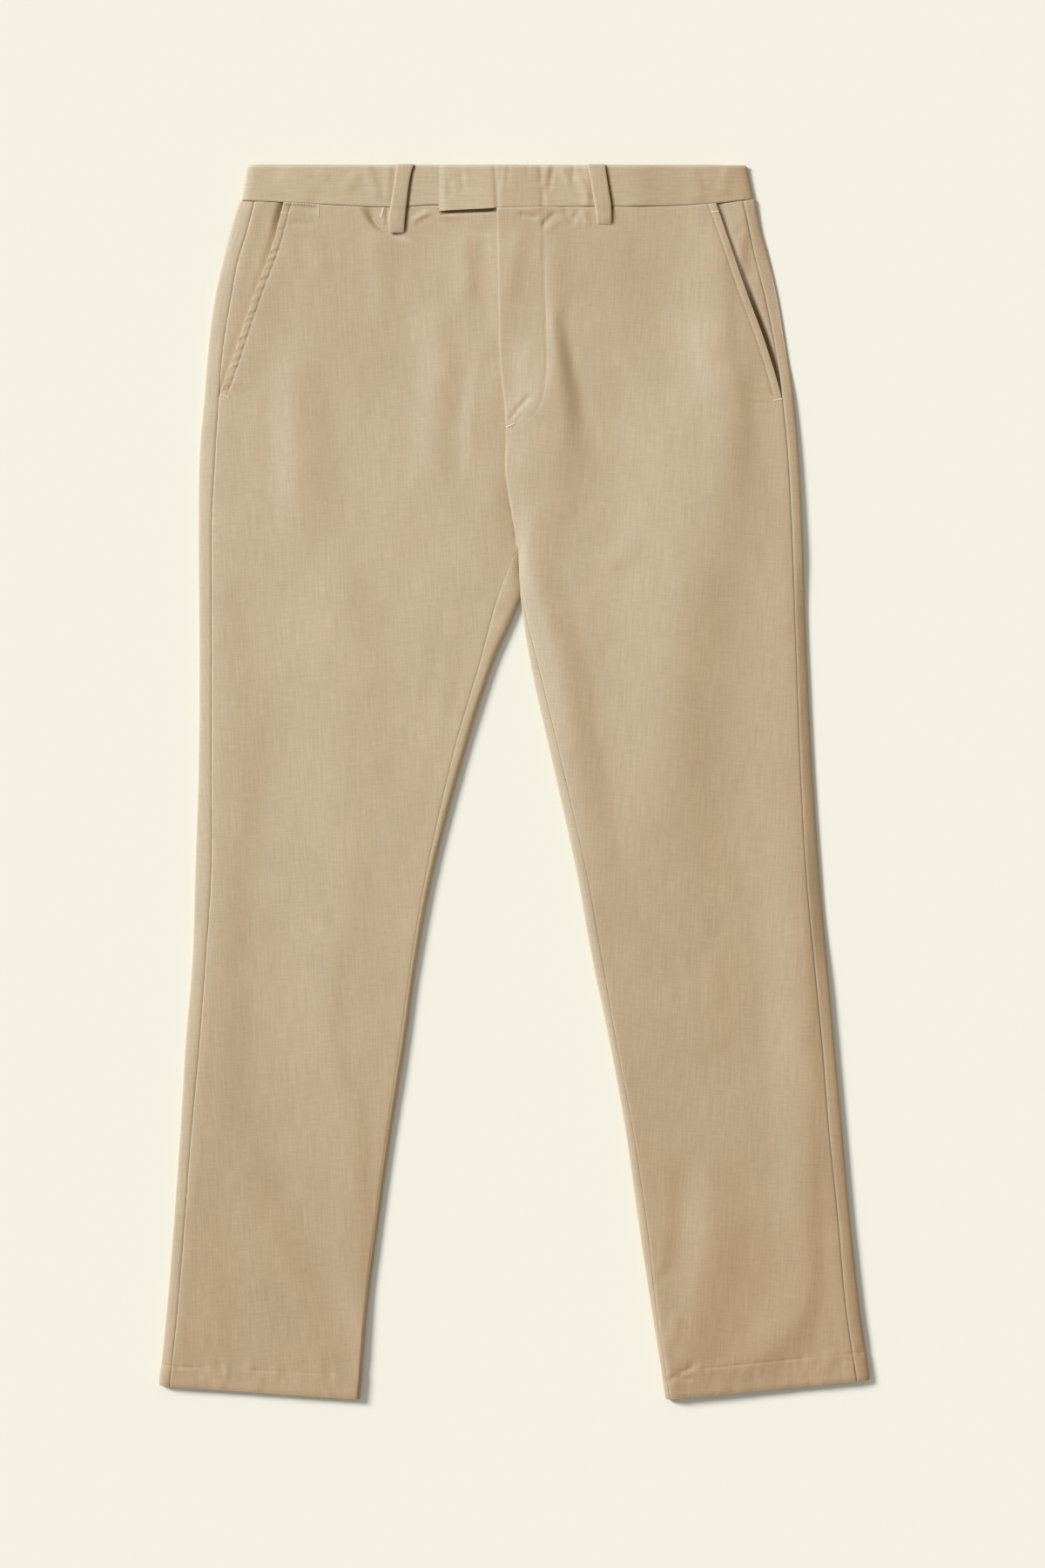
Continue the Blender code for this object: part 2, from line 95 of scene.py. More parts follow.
# The hems, the folds and the pockets
HEM_CLOTH = 0.0022
HEM_TILT_FROM = 0.600
HEM_DRAWN = 0.62  # how tightly the hem's stitching is drawn, on average
HEM_DRAWN_BY_SIDE = 0.14  # and how much more on the left
HEM_SWELL = 0.00016
HEM_EDGE_TURN = 0.0006
HEM_EDGE_OVER = 0.0022
HEM_ON_FLOOR = 0.35  # the share of the hem's relief that is left on the floor's side
ROLL_UNDER = 0.0030
SIDE_DIP_AT_FOLD = 0.45  # the share of the side's dip that is left at the fold
NEAR_FLOOR = 0.0010  # cloth below this height never swells
POCKET_UNDERLAP = 0.0140
UNDERLAP_DIP = 0.0012
UNDERLAP_DIP_OVER = 0.009
FACING_END = 0.003  # how far the hip piece goes on below the pocket's lower end
LEAST_FACING = 0.0008
MOUTH_FADE = 0.036
MOUTH_END = 0.012  # this far above the pocket's lower end its edge comes down again
MOUTH_SWELL = 0.00012
MOUTH_PUCKER = 0.00005

# Where the pieces meet
FLY_END = 0.228
SEAM_GAP = 0.00008  # what is left open between two pieces of cloth that are sewn together
WAIST_ROW = 0.036  # the first row of a panel follows the waist seam
ROW_LEVEL_FROM = 0.060  # from here the rows run straight across
CROTCH_FROM = 0.3120  # here the inner strips of the back come up from the floor
CROTCH_TO = 0.3270
CROTCH_OPEN = 0.3275  # and here the fronts part and let them through
FRONTS_PART = Span(CROTCH_OPEN, 0.0120)
CROTCH_SINK = 0.0005
CROTCH_SINK_END = Span(CROTCH_OPEN, 0.0140)
CROTCH_SINK_FULL = 0.004  # the height from which the inner strips sink by all of it
CROTCH_VALLEY = 0.0028  # the legs are joined there, and only a valley this deep parts them
CROTCH_VALLEY_IN = Span(0.322, 0.030)
LEGS_PART = Span(0.350, 0.030)
LEAST_TURN = 0.0009
FLAT_SQUEEZE = 0.5

# Seams and stitching
SEAM_DEPTH = 0.00036
SIDE_SINK_BACK = 0.00022  # the back's edge sinks less than the front's at the side seam
INSEAM_SINK = 0.00014
HEM_PUCKER = 0.00034
FOLD_BULGE = 0.0009  # the outer fold rolls out this far past its pressed line
FOLD_BULGE_IN = Span(0.030, 0.050)
STRIP_FALL = 0.0017  # how much the left back falls from the side seam to the fold at the knee
STRIP_FALL_IN = Span(0.330, 0.060)
STRIP_FALL_END = Span(0.640, 0.080)
SEAM_WIDTH = 0.0010
SEAM_SWELL = 0.00010
SEAM_PUCKER = 0.00006
INSEAM_IN = Span(0.350, 0.040)
RISE_DIP = 0.0006  # how much the right front sinks beside the rise seam
RISE_DIP_IN = Span(0.262, 0.026)
RISE_DIP_END = Span(0.322, 0.012)
RISE_DIP_REACH = 0.013
RISE_LINE = 0.00025  # how deep the seam's own line is, and how much deeper below the fly
RISE_LINE_BELOW_FLY = 0.00035
RISE_LINE_IN = Span(FLY_END, 0.010)
RISE_LINE_END = Span(0.322, 0.010)
RISE_LINE_WIDTH = 0.0013
STITCH_DRAW = 0.00030  # how deep topstitching draws the cloth in
FLY_STITCH_DRAW = 0.00026
STITCH_DRAW_WIDTH = 0.0009
TOPSTITCH_FROM_EDGE = 0.0066
STITCH_LONG = 0.0021
STITCH_PITCH = 0.0027
STITCH_WIDE = 0.00042
STITCH_SEED = 71
STITCH_REACH = 0.4  # a stitch's ends, for its direction, as a share of its length
STITCH_SPREAD = 0.10  # how much the stitches differ in length
STITCH_SINK = 0.00003
STITCH_HIGH = 0.8  # of its width
MOUTH_STITCH_FROM = 0.040
MOUTH_STITCH_SHORT = 0.001  # how much higher than the pocket's lower end it stops
HEM_STITCH_LONG = 0.0012
HEM_STITCH_PITCH = 0.0032
HEM_STITCH_INSET = 0.0016
TACK_WIDE = 0.0016
TACK_PITCH = 0.00042
TACK_LEAN = 0.18  # the tack's stitches lean to and fro by this slope
TACK_LIFT = 0.00012
TACK_THREAD_WIDE = 0.00046
TACK_THREAD_HIGH = 0.00040
DROP_FROM = 0.05

# Outer side of each leg: its fold, and the side seam, which lies on top, just inside the fold
SideRow = namedtuple("SideRow", "down fold seam")
RIGHT_SIDE = (
    SideRow(0.032, -0.2355, -0.2230),
    SideRow(0.053, -0.2430, -0.2292),
    SideRow(0.083, -0.2505, -0.2385),
    SideRow(0.113, -0.2572, -0.2441),
    SideRow(0.158, -0.2632, -0.2515),
    SideRow(0.200, -0.2666, -0.2550),
    SideRow(0.248, -0.2706, -0.2580),
    SideRow(0.308, -0.2716, -0.2610),
    SideRow(0.430, -0.2709, -0.2610),
    SideRow(0.520, -0.2716, -0.2612),
    SideRow(0.608, -0.2745, -0.2614),
    SideRow(0.683, -0.2768, -0.2662),
    SideRow(0.758, -0.2828, -0.2718),
    SideRow(0.833, -0.2873, -0.2786),
    SideRow(0.908, -0.2925, -0.2842),
    SideRow(0.983, -0.2985, -0.2903),
    SideRow(1.0485, -0.30525, -0.2970),
)
LEFT_SIDE = (
    SideRow(0.029, 0.2060, 0.1948),
    SideRow(0.053, 0.2108, 0.2015),
    SideRow(0.083, 0.2190, 0.2083),
    SideRow(0.113, 0.2258, 0.2160),
    SideRow(0.158, 0.2333, 0.2250),
    SideRow(0.200, 0.2396, 0.2308),
    SideRow(0.248, 0.2438, 0.2355),
    SideRow(0.308, 0.2468, 0.2388),
    SideRow(0.430, 0.2513, 0.2432),
    SideRow(0.520, 0.2558, 0.2465),
    SideRow(0.608, 0.2618, 0.2512),
    SideRow(0.683, 0.2680, 0.2580),
    SideRow(0.758, 0.2745, 0.2652),
    SideRow(0.833, 0.2813, 0.2712),
    SideRow(0.908, 0.2880, 0.2788),
    SideRow(0.983, 0.2962, 0.2855),
    SideRow(1.0466, 0.30525, 0.2950),
)

# Inner side of each leg, from the crotch down: its fold and the inseam
RIGHT_INNER = (
    SideRow(0.330, 0.0030, 0.0000),
    SideRow(0.345, 0.0036, -0.0045),
    SideRow(0.3735, 0.0048, -0.0152),
    SideRow(0.4285, -0.0180, -0.0300),
    SideRow(0.503, -0.0420, -0.0518),
    SideRow(0.608, -0.0698, -0.0756),
    SideRow(0.683, -0.0840, -0.0885),
    SideRow(0.758, -0.0945, -0.0990),
    SideRow(0.833, -0.1065, -0.1100),
    SideRow(0.908, -0.1170, -0.1202),
    SideRow(0.983, -0.1267, -0.1290),
    SideRow(1.0635, -0.1335, -0.1346),
)
LEFT_INNER = (
    SideRow(0.330, 0.0030, 0.0040),
    SideRow(0.345, 0.0036, 0.0046),
    SideRow(0.3735, 0.0052, 0.0064),
    SideRow(0.4285, 0.0135, 0.0195),
    SideRow(0.503, 0.0300, 0.0375),
    SideRow(0.608, 0.0533, 0.0615),
    SideRow(0.683, 0.0668, 0.0750),
    SideRow(0.758, 0.0825, 0.0878),
    SideRow(0.833, 0.0960, 0.1020),
    SideRow(0.908, 0.1065, 0.1132),
    SideRow(0.983, 0.1178, 0.1215),
    SideRow(1.0635, 0.1305, 0.1338),
)

# Centre front: the fly's outer edge, then the rise seam, and how far the right front goes on below
CentreRow = namedtuple("CentreRow", "down edge lap")
CENTRE_FRONT = (
    CentreRow(0.034, -0.0156, 0.0280),
    CentreRow(0.113, -0.0142, 0.0280),
    CentreRow(0.166, -0.0130, 0.0260),
    CentreRow(0.205, -0.0090, 0.0120),
    CentreRow(0.228, -0.0076, 0.0045),
    CentreRow(0.262, -0.0082, 0.0040),
    CentreRow(0.290, -0.0045, 0.0035),
    CentreRow(0.3195, 0.0006, 0.0030),
    CentreRow(0.3323, 0.0032, 0.0000),
)
CENTRE_BACK_TOP = 0.0
CENTRE_BACK_FORK = 0.0050
FORK_DOWN = 0.3735

# Mouth of each slanted pocket: the edge of the front panel from the waist seam to the side seam
MouthRow = namedtuple("MouthRow", "down edge")
RIGHT_MOUTH = (
    MouthRow(0.033, -0.1980),
    MouthRow(0.074, -0.2103),
    MouthRow(0.107, -0.2227),
    MouthRow(0.142, -0.2348),
    MouthRow(0.167, -0.2430),
    MouthRow(0.198, -0.2540),
)
LEFT_MOUTH = (
    MouthRow(0.033, 0.1723),
    MouthRow(0.059, 0.1822),
    MouthRow(0.078, 0.1889),
    MouthRow(0.098, 0.1956),
    MouthRow(0.121, 0.2041),
    MouthRow(0.143, 0.2124),
    MouthRow(0.171, 0.2217),
    MouthRow(0.200, 0.2302),
)

# Waist seam across the front, and the lower edge of the closing tab
SeamRow = namedtuple("SeamRow", "across down")
WAIST_SEAM = (
    SeamRow(-0.2360, 0.0308),
    SeamRow(-0.1990, 0.0323),
    SeamRow(-0.1080, 0.0364),
    SeamRow(-0.0660, 0.0345),
    SeamRow(-0.0140, 0.0372),
    SeamRow(0.0250, 0.0360),
    SeamRow(0.1200, 0.0354),
    SeamRow(0.1680, 0.0334),
    SeamRow(0.2065, 0.0289),
)
TAB_END = -0.0653
TAB_DROP = 0.0056
FLY_TOP = -0.0155
TAB_RAISE = 0.0011
TAB_RAISE_END = Span(0.0100, 0.0300)
TAB_DROOP = 0.0004
TAB_DROOP_END = Span(TAB_END, 0.012)
BAND_TOP_RIGHT = -0.2302
BAND_TOP_LEFT = 0.2000
UNDER_TAB_END = 0.0050

# How wide the soft roll of the upper side is at each folded edge of a leg
RollRow = namedtuple("RollRow", "down outer inner")
RIGHT_ROLLS = (
    RollRow(0.034, 0.0180, 0.0030),
    RollRow(0.250, 0.0300, 0.0030),
    RollRow(0.330, 0.0300, 0.0040),
    RollRow(0.350, 0.0300, 0.0080),
    RollRow(0.374, 0.0300, 0.0085),
    RollRow(0.430, 0.0280, 0.0062),
    RollRow(0.700, 0.0240, 0.0046),
    RollRow(0.850, 0.0200, 0.0042),
    RollRow(1.000, 0.0160, 0.0032),
    RollRow(1.063, 0.0070, 0.0030),
)
LEFT_ROLLS = (
    RollRow(0.034, 0.0150, 0.0060),
    RollRow(0.330, 0.0240, 0.0060),
    RollRow(0.374, 0.0250, 0.0080),
    RollRow(0.430, 0.0260, 0.0100),
    RollRow(0.600, 0.0270, 0.0090),
    RollRow(0.900, 0.0220, 0.0085),
    RollRow(1.063, 0.0150, 0.0080),
)

# The left front lies higher over the fly's layers: where it is level, where it is down, how high it
# lies, and how far from its edge it reaches that height.
FlyRow = namedtuple("FlyRow", "down level_to gone_at height rise_over")
FLY_STEP = (
    FlyRow(0.036, 0.0100, 0.0420, 0.0028, 0.020),
    FlyRow(0.060, 0.0140, 0.0700, 0.0016, 0.030),
    FlyRow(0.085, 0.0200, 0.0780, 0.0012, 0.034),
    FlyRow(0.105, 0.0260, 0.0660, 0.0010, 0.034),
    FlyRow(0.120, 0.0300, 0.0520, 0.0010, 0.034),
    FlyRow(0.132, 0.0325, 0.0450, 0.0016, 0.036),
    FlyRow(0.150, 0.0345, 0.0470, 0.0026, 0.038),
    FlyRow(0.173, 0.0370, 0.0525, 0.0038, 0.040),
    FlyRow(0.196, 0.0395, 0.0590, 0.0045, 0.040),
    FlyRow(0.210, 0.0400, 0.0620, 0.0044, 0.040),
    FlyRow(0.222, 0.0400, 0.0640, 0.0037, 0.038),
    FlyRow(0.240, 0.0360, 0.0700, 0.0034, 0.034),
    FlyRow(0.262, 0.0300, 0.0740, 0.0029, 0.026),
    FlyRow(0.290, 0.0240, 0.0740, 0.0020, 0.018),
    FlyRow(0.310, 0.0190, 0.0700, 0.0012, 0.014),
    FlyRow(0.345, 0.0180, 0.0660, 0.0005, 0.012),
    FlyRow(0.370, 0.0300, 0.0700, 0.0000, 0.014),
)
FLY_EDGE = 0.0013  # how high its edge stands above the right front
FLY_EDGE_END = Span(0.318, 0.026)
FLY_EDGE_TOP = 0.0014  # and how much more under the waistband
FLY_EDGE_TOP_END = Span(0.036, 0.030)
FLY_TURN = 0.00028  # how far the edge itself turns down
FLY_TURN_WIDTH = 0.0018
FLY_TURN_END = Span(0.318, 0.012)
FLY_STEEP_IN = Span(0.180, 0.040)  # below here its rise from the edge is steep

# How deep the hip piece lies behind each pocket mouth, how much deeper just beside the edge, and how
# high that edge stands up; on the left the whole side beyond the mouth lies lower as well
DipRow = namedtuple("DipRow", "down dip gap edge side", defaults=(0.0,))
RIGHT_DIPS = (
    DipRow(0.033, 0.0002, 0.0020, 0.0012),
    DipRow(0.042, 0.0004, 0.0026, 0.0012),
    DipRow(0.060, 0.0003, 0.0014, 0.0012),
    DipRow(0.085, 0.0002, 0.0008, 0.0010),
    DipRow(0.115, 0.0002, 0.0004, 0.0010),
    DipRow(0.198, 0.0004, 0.0003, 0.0010),
)
LEFT_DIPS = (
    DipRow(0.033, 0.0004, 0.0008, 0.0006, 0.0000),
    DipRow(0.045, 0.0005, 0.0008, 0.0006, 0.0001),
    DipRow(0.065, 0.0004, 0.0006, 0.0006, 0.0006),
    DipRow(0.090, 0.0003, 0.0008, 0.0007, 0.0012),
    DipRow(0.110, 0.0003, 0.0010, 0.0008, 0.0015),
    DipRow(0.145, 0.0003, 0.0011, 0.0008, 0.0016),
    DipRow(0.170, 0.0003, 0.0010, 0.0007, 0.0014),
    DipRow(0.200, 0.0002, 0.0000, 0.0004, 0.0000),
)
GAP_REACH = 0.0060
GAP_DEEPEST = 0.0022  # on the left the hollow stays this far as deep as beside the edge

# Painted shadow: a darker, browner tone this near a belt loop or the tab, and in the left pocket's hollow
PAINTED_SHADOW_FULL = 0.0014
PAINTED_SHADOW_REACH = 0.0024
POCKET_PAINTED_SHADOW = 0.85
POCKET_PAINTED_SHADOW_IN = Span(0.085, 0.050)
POCKET_PAINTED_SHADOW_TOP = 0.35  # the share of it that is there at the waist seam
POCKET_PAINTED_SHADOW_TOP_END = Span(0.050, 0.020)

# hem_rise is how much higher a hem is at the outer fold; hem_depth how far up it is stitched at the
# inner fold, and hem_change how much less at the outer one
Leg = namedtuple("Leg", "name sign side inner mouth rolls dips hem_rise hem_depth hem_change grain")
RIGHT_LEG = Leg(
    "right", -1, RIGHT_SIDE, RIGHT_INNER, RIGHT_MOUTH, RIGHT_ROLLS, RIGHT_DIPS, 0.0120, 0.0204, 0.0024, -0.06
)
LEFT_LEG = Leg(
    "left", 1, LEFT_SIDE, LEFT_INNER, LEFT_MOUTH, LEFT_ROLLS, LEFT_DIPS, 0.0169, 0.0238, -0.0004, 0.06
)

# Soft folds: from one point to another, bowed sideways at the middle; how far the two flanks reach, on
# the west and the east side of a fold that runs down; and how much higher the crest lies (a trough has
# a height below zero)
Fold = namedtuple("Fold", "x down to_x to_down bow west east height")
FOLD_END = 0.28
FOLDS = (
    # right front and the hip beside it
    Fold(-0.0900, 0.025, -0.0920, 0.250, 0.000, 0.080, 0.060, -0.0012),
    Fold(-0.0430, 0.055, -0.0400, 0.124, 0.000, 0.014, 0.010, 0.0008),
    Fold(-0.1760, 0.040, -0.1680, 0.110, 0.000, 0.014, 0.016, 0.0004),
    Fold(-0.1170, 0.040, -0.1130, 0.150, 0.000, 0.018, 0.020, 0.0006),
    Fold(-0.1740, 0.0840, -0.1440, 0.0850, 0.001, 0.008, 0.010, 0.0003),
    Fold(-0.1980, 0.0600, -0.1780, 0.1180, 0.000, 0.010, 0.012, 0.0003),
    Fold(0.0060, 0.045, -0.0090, 0.125, 0.000, 0.012, 0.014, 0.0005),
    Fold(0.0150, 0.150, 0.0060, 0.185, 0.000, 0.012, 0.012, 0.0003),
    # left front and the hip beside it
    Fold(0.1650, 0.030, 0.1800, 0.220, 0.002, 0.030, 0.045, 0.0012),
    Fold(0.1460, 0.106, 0.1390, 0.610, 0.002, 0.066, 0.080, 0.0032),
    Fold(0.1680, 0.110, 0.1790, 0.360, 0.003, 0.046, 0.056, 0.0016),
    Fold(0.0780, 0.070, 0.1080, 0.150, 0.000, 0.030, 0.024, 0.0003),
    Fold(0.1745, 0.050, 0.1835, 0.185, 0.000, 0.040, 0.014, 0.0009),
    Fold(0.0720, 0.348, 0.1120, 0.324, 0.000, 0.016, 0.018, 0.0006),
    # right leg
    Fold(-0.1570, 0.320, -0.1490, 0.540, 0.000, 0.050, 0.050, 0.0008),
    Fold(-0.1470, 0.323, -0.1440, 0.413, 0.000, 0.026, 0.018, 0.0003),
    Fold(-0.1450, 0.398, -0.1190, 0.460, 0.000, 0.016, 0.018, 0.0003),
    Fold(-0.1245, 0.463, -0.1220, 0.535, 0.000, 0.016, 0.022, 0.0003),
    Fold(-0.0800, 0.383, -0.0790, 0.463, 0.000, 0.014, 0.012, 0.0002),
    Fold(-0.0590, 0.420, -0.0650, 0.512, 0.000, 0.012, 0.010, 0.0003),
    Fold(-0.1410, 0.555, -0.1470, 0.705, 0.000, 0.045, 0.026, 0.0005),
    # left leg
    Fold(0.1960, 0.550, 0.2170, 0.830, 0.000, 0.062, 0.036, -0.0014),
    Fold(0.2430, 0.550, 0.2550, 0.985, 0.002, 0.036, 0.018, 0.0013),
    Fold(0.1400, 0.984, 0.1330, 1.018, 0.000, 0.008, 0.009, 0.0006),
    Fold(0.1700, 0.675, 0.1690, 0.735, 0.000, 0.012, 0.016, 0.0004),
    Fold(0.1530, 0.778, 0.2050, 0.750, 0.000, 0.016, 0.014, -0.0003),
    Fold(0.1155, 0.970, 0.1403, 0.948, 0.001, 0.006, 0.006, -0.0004),
)

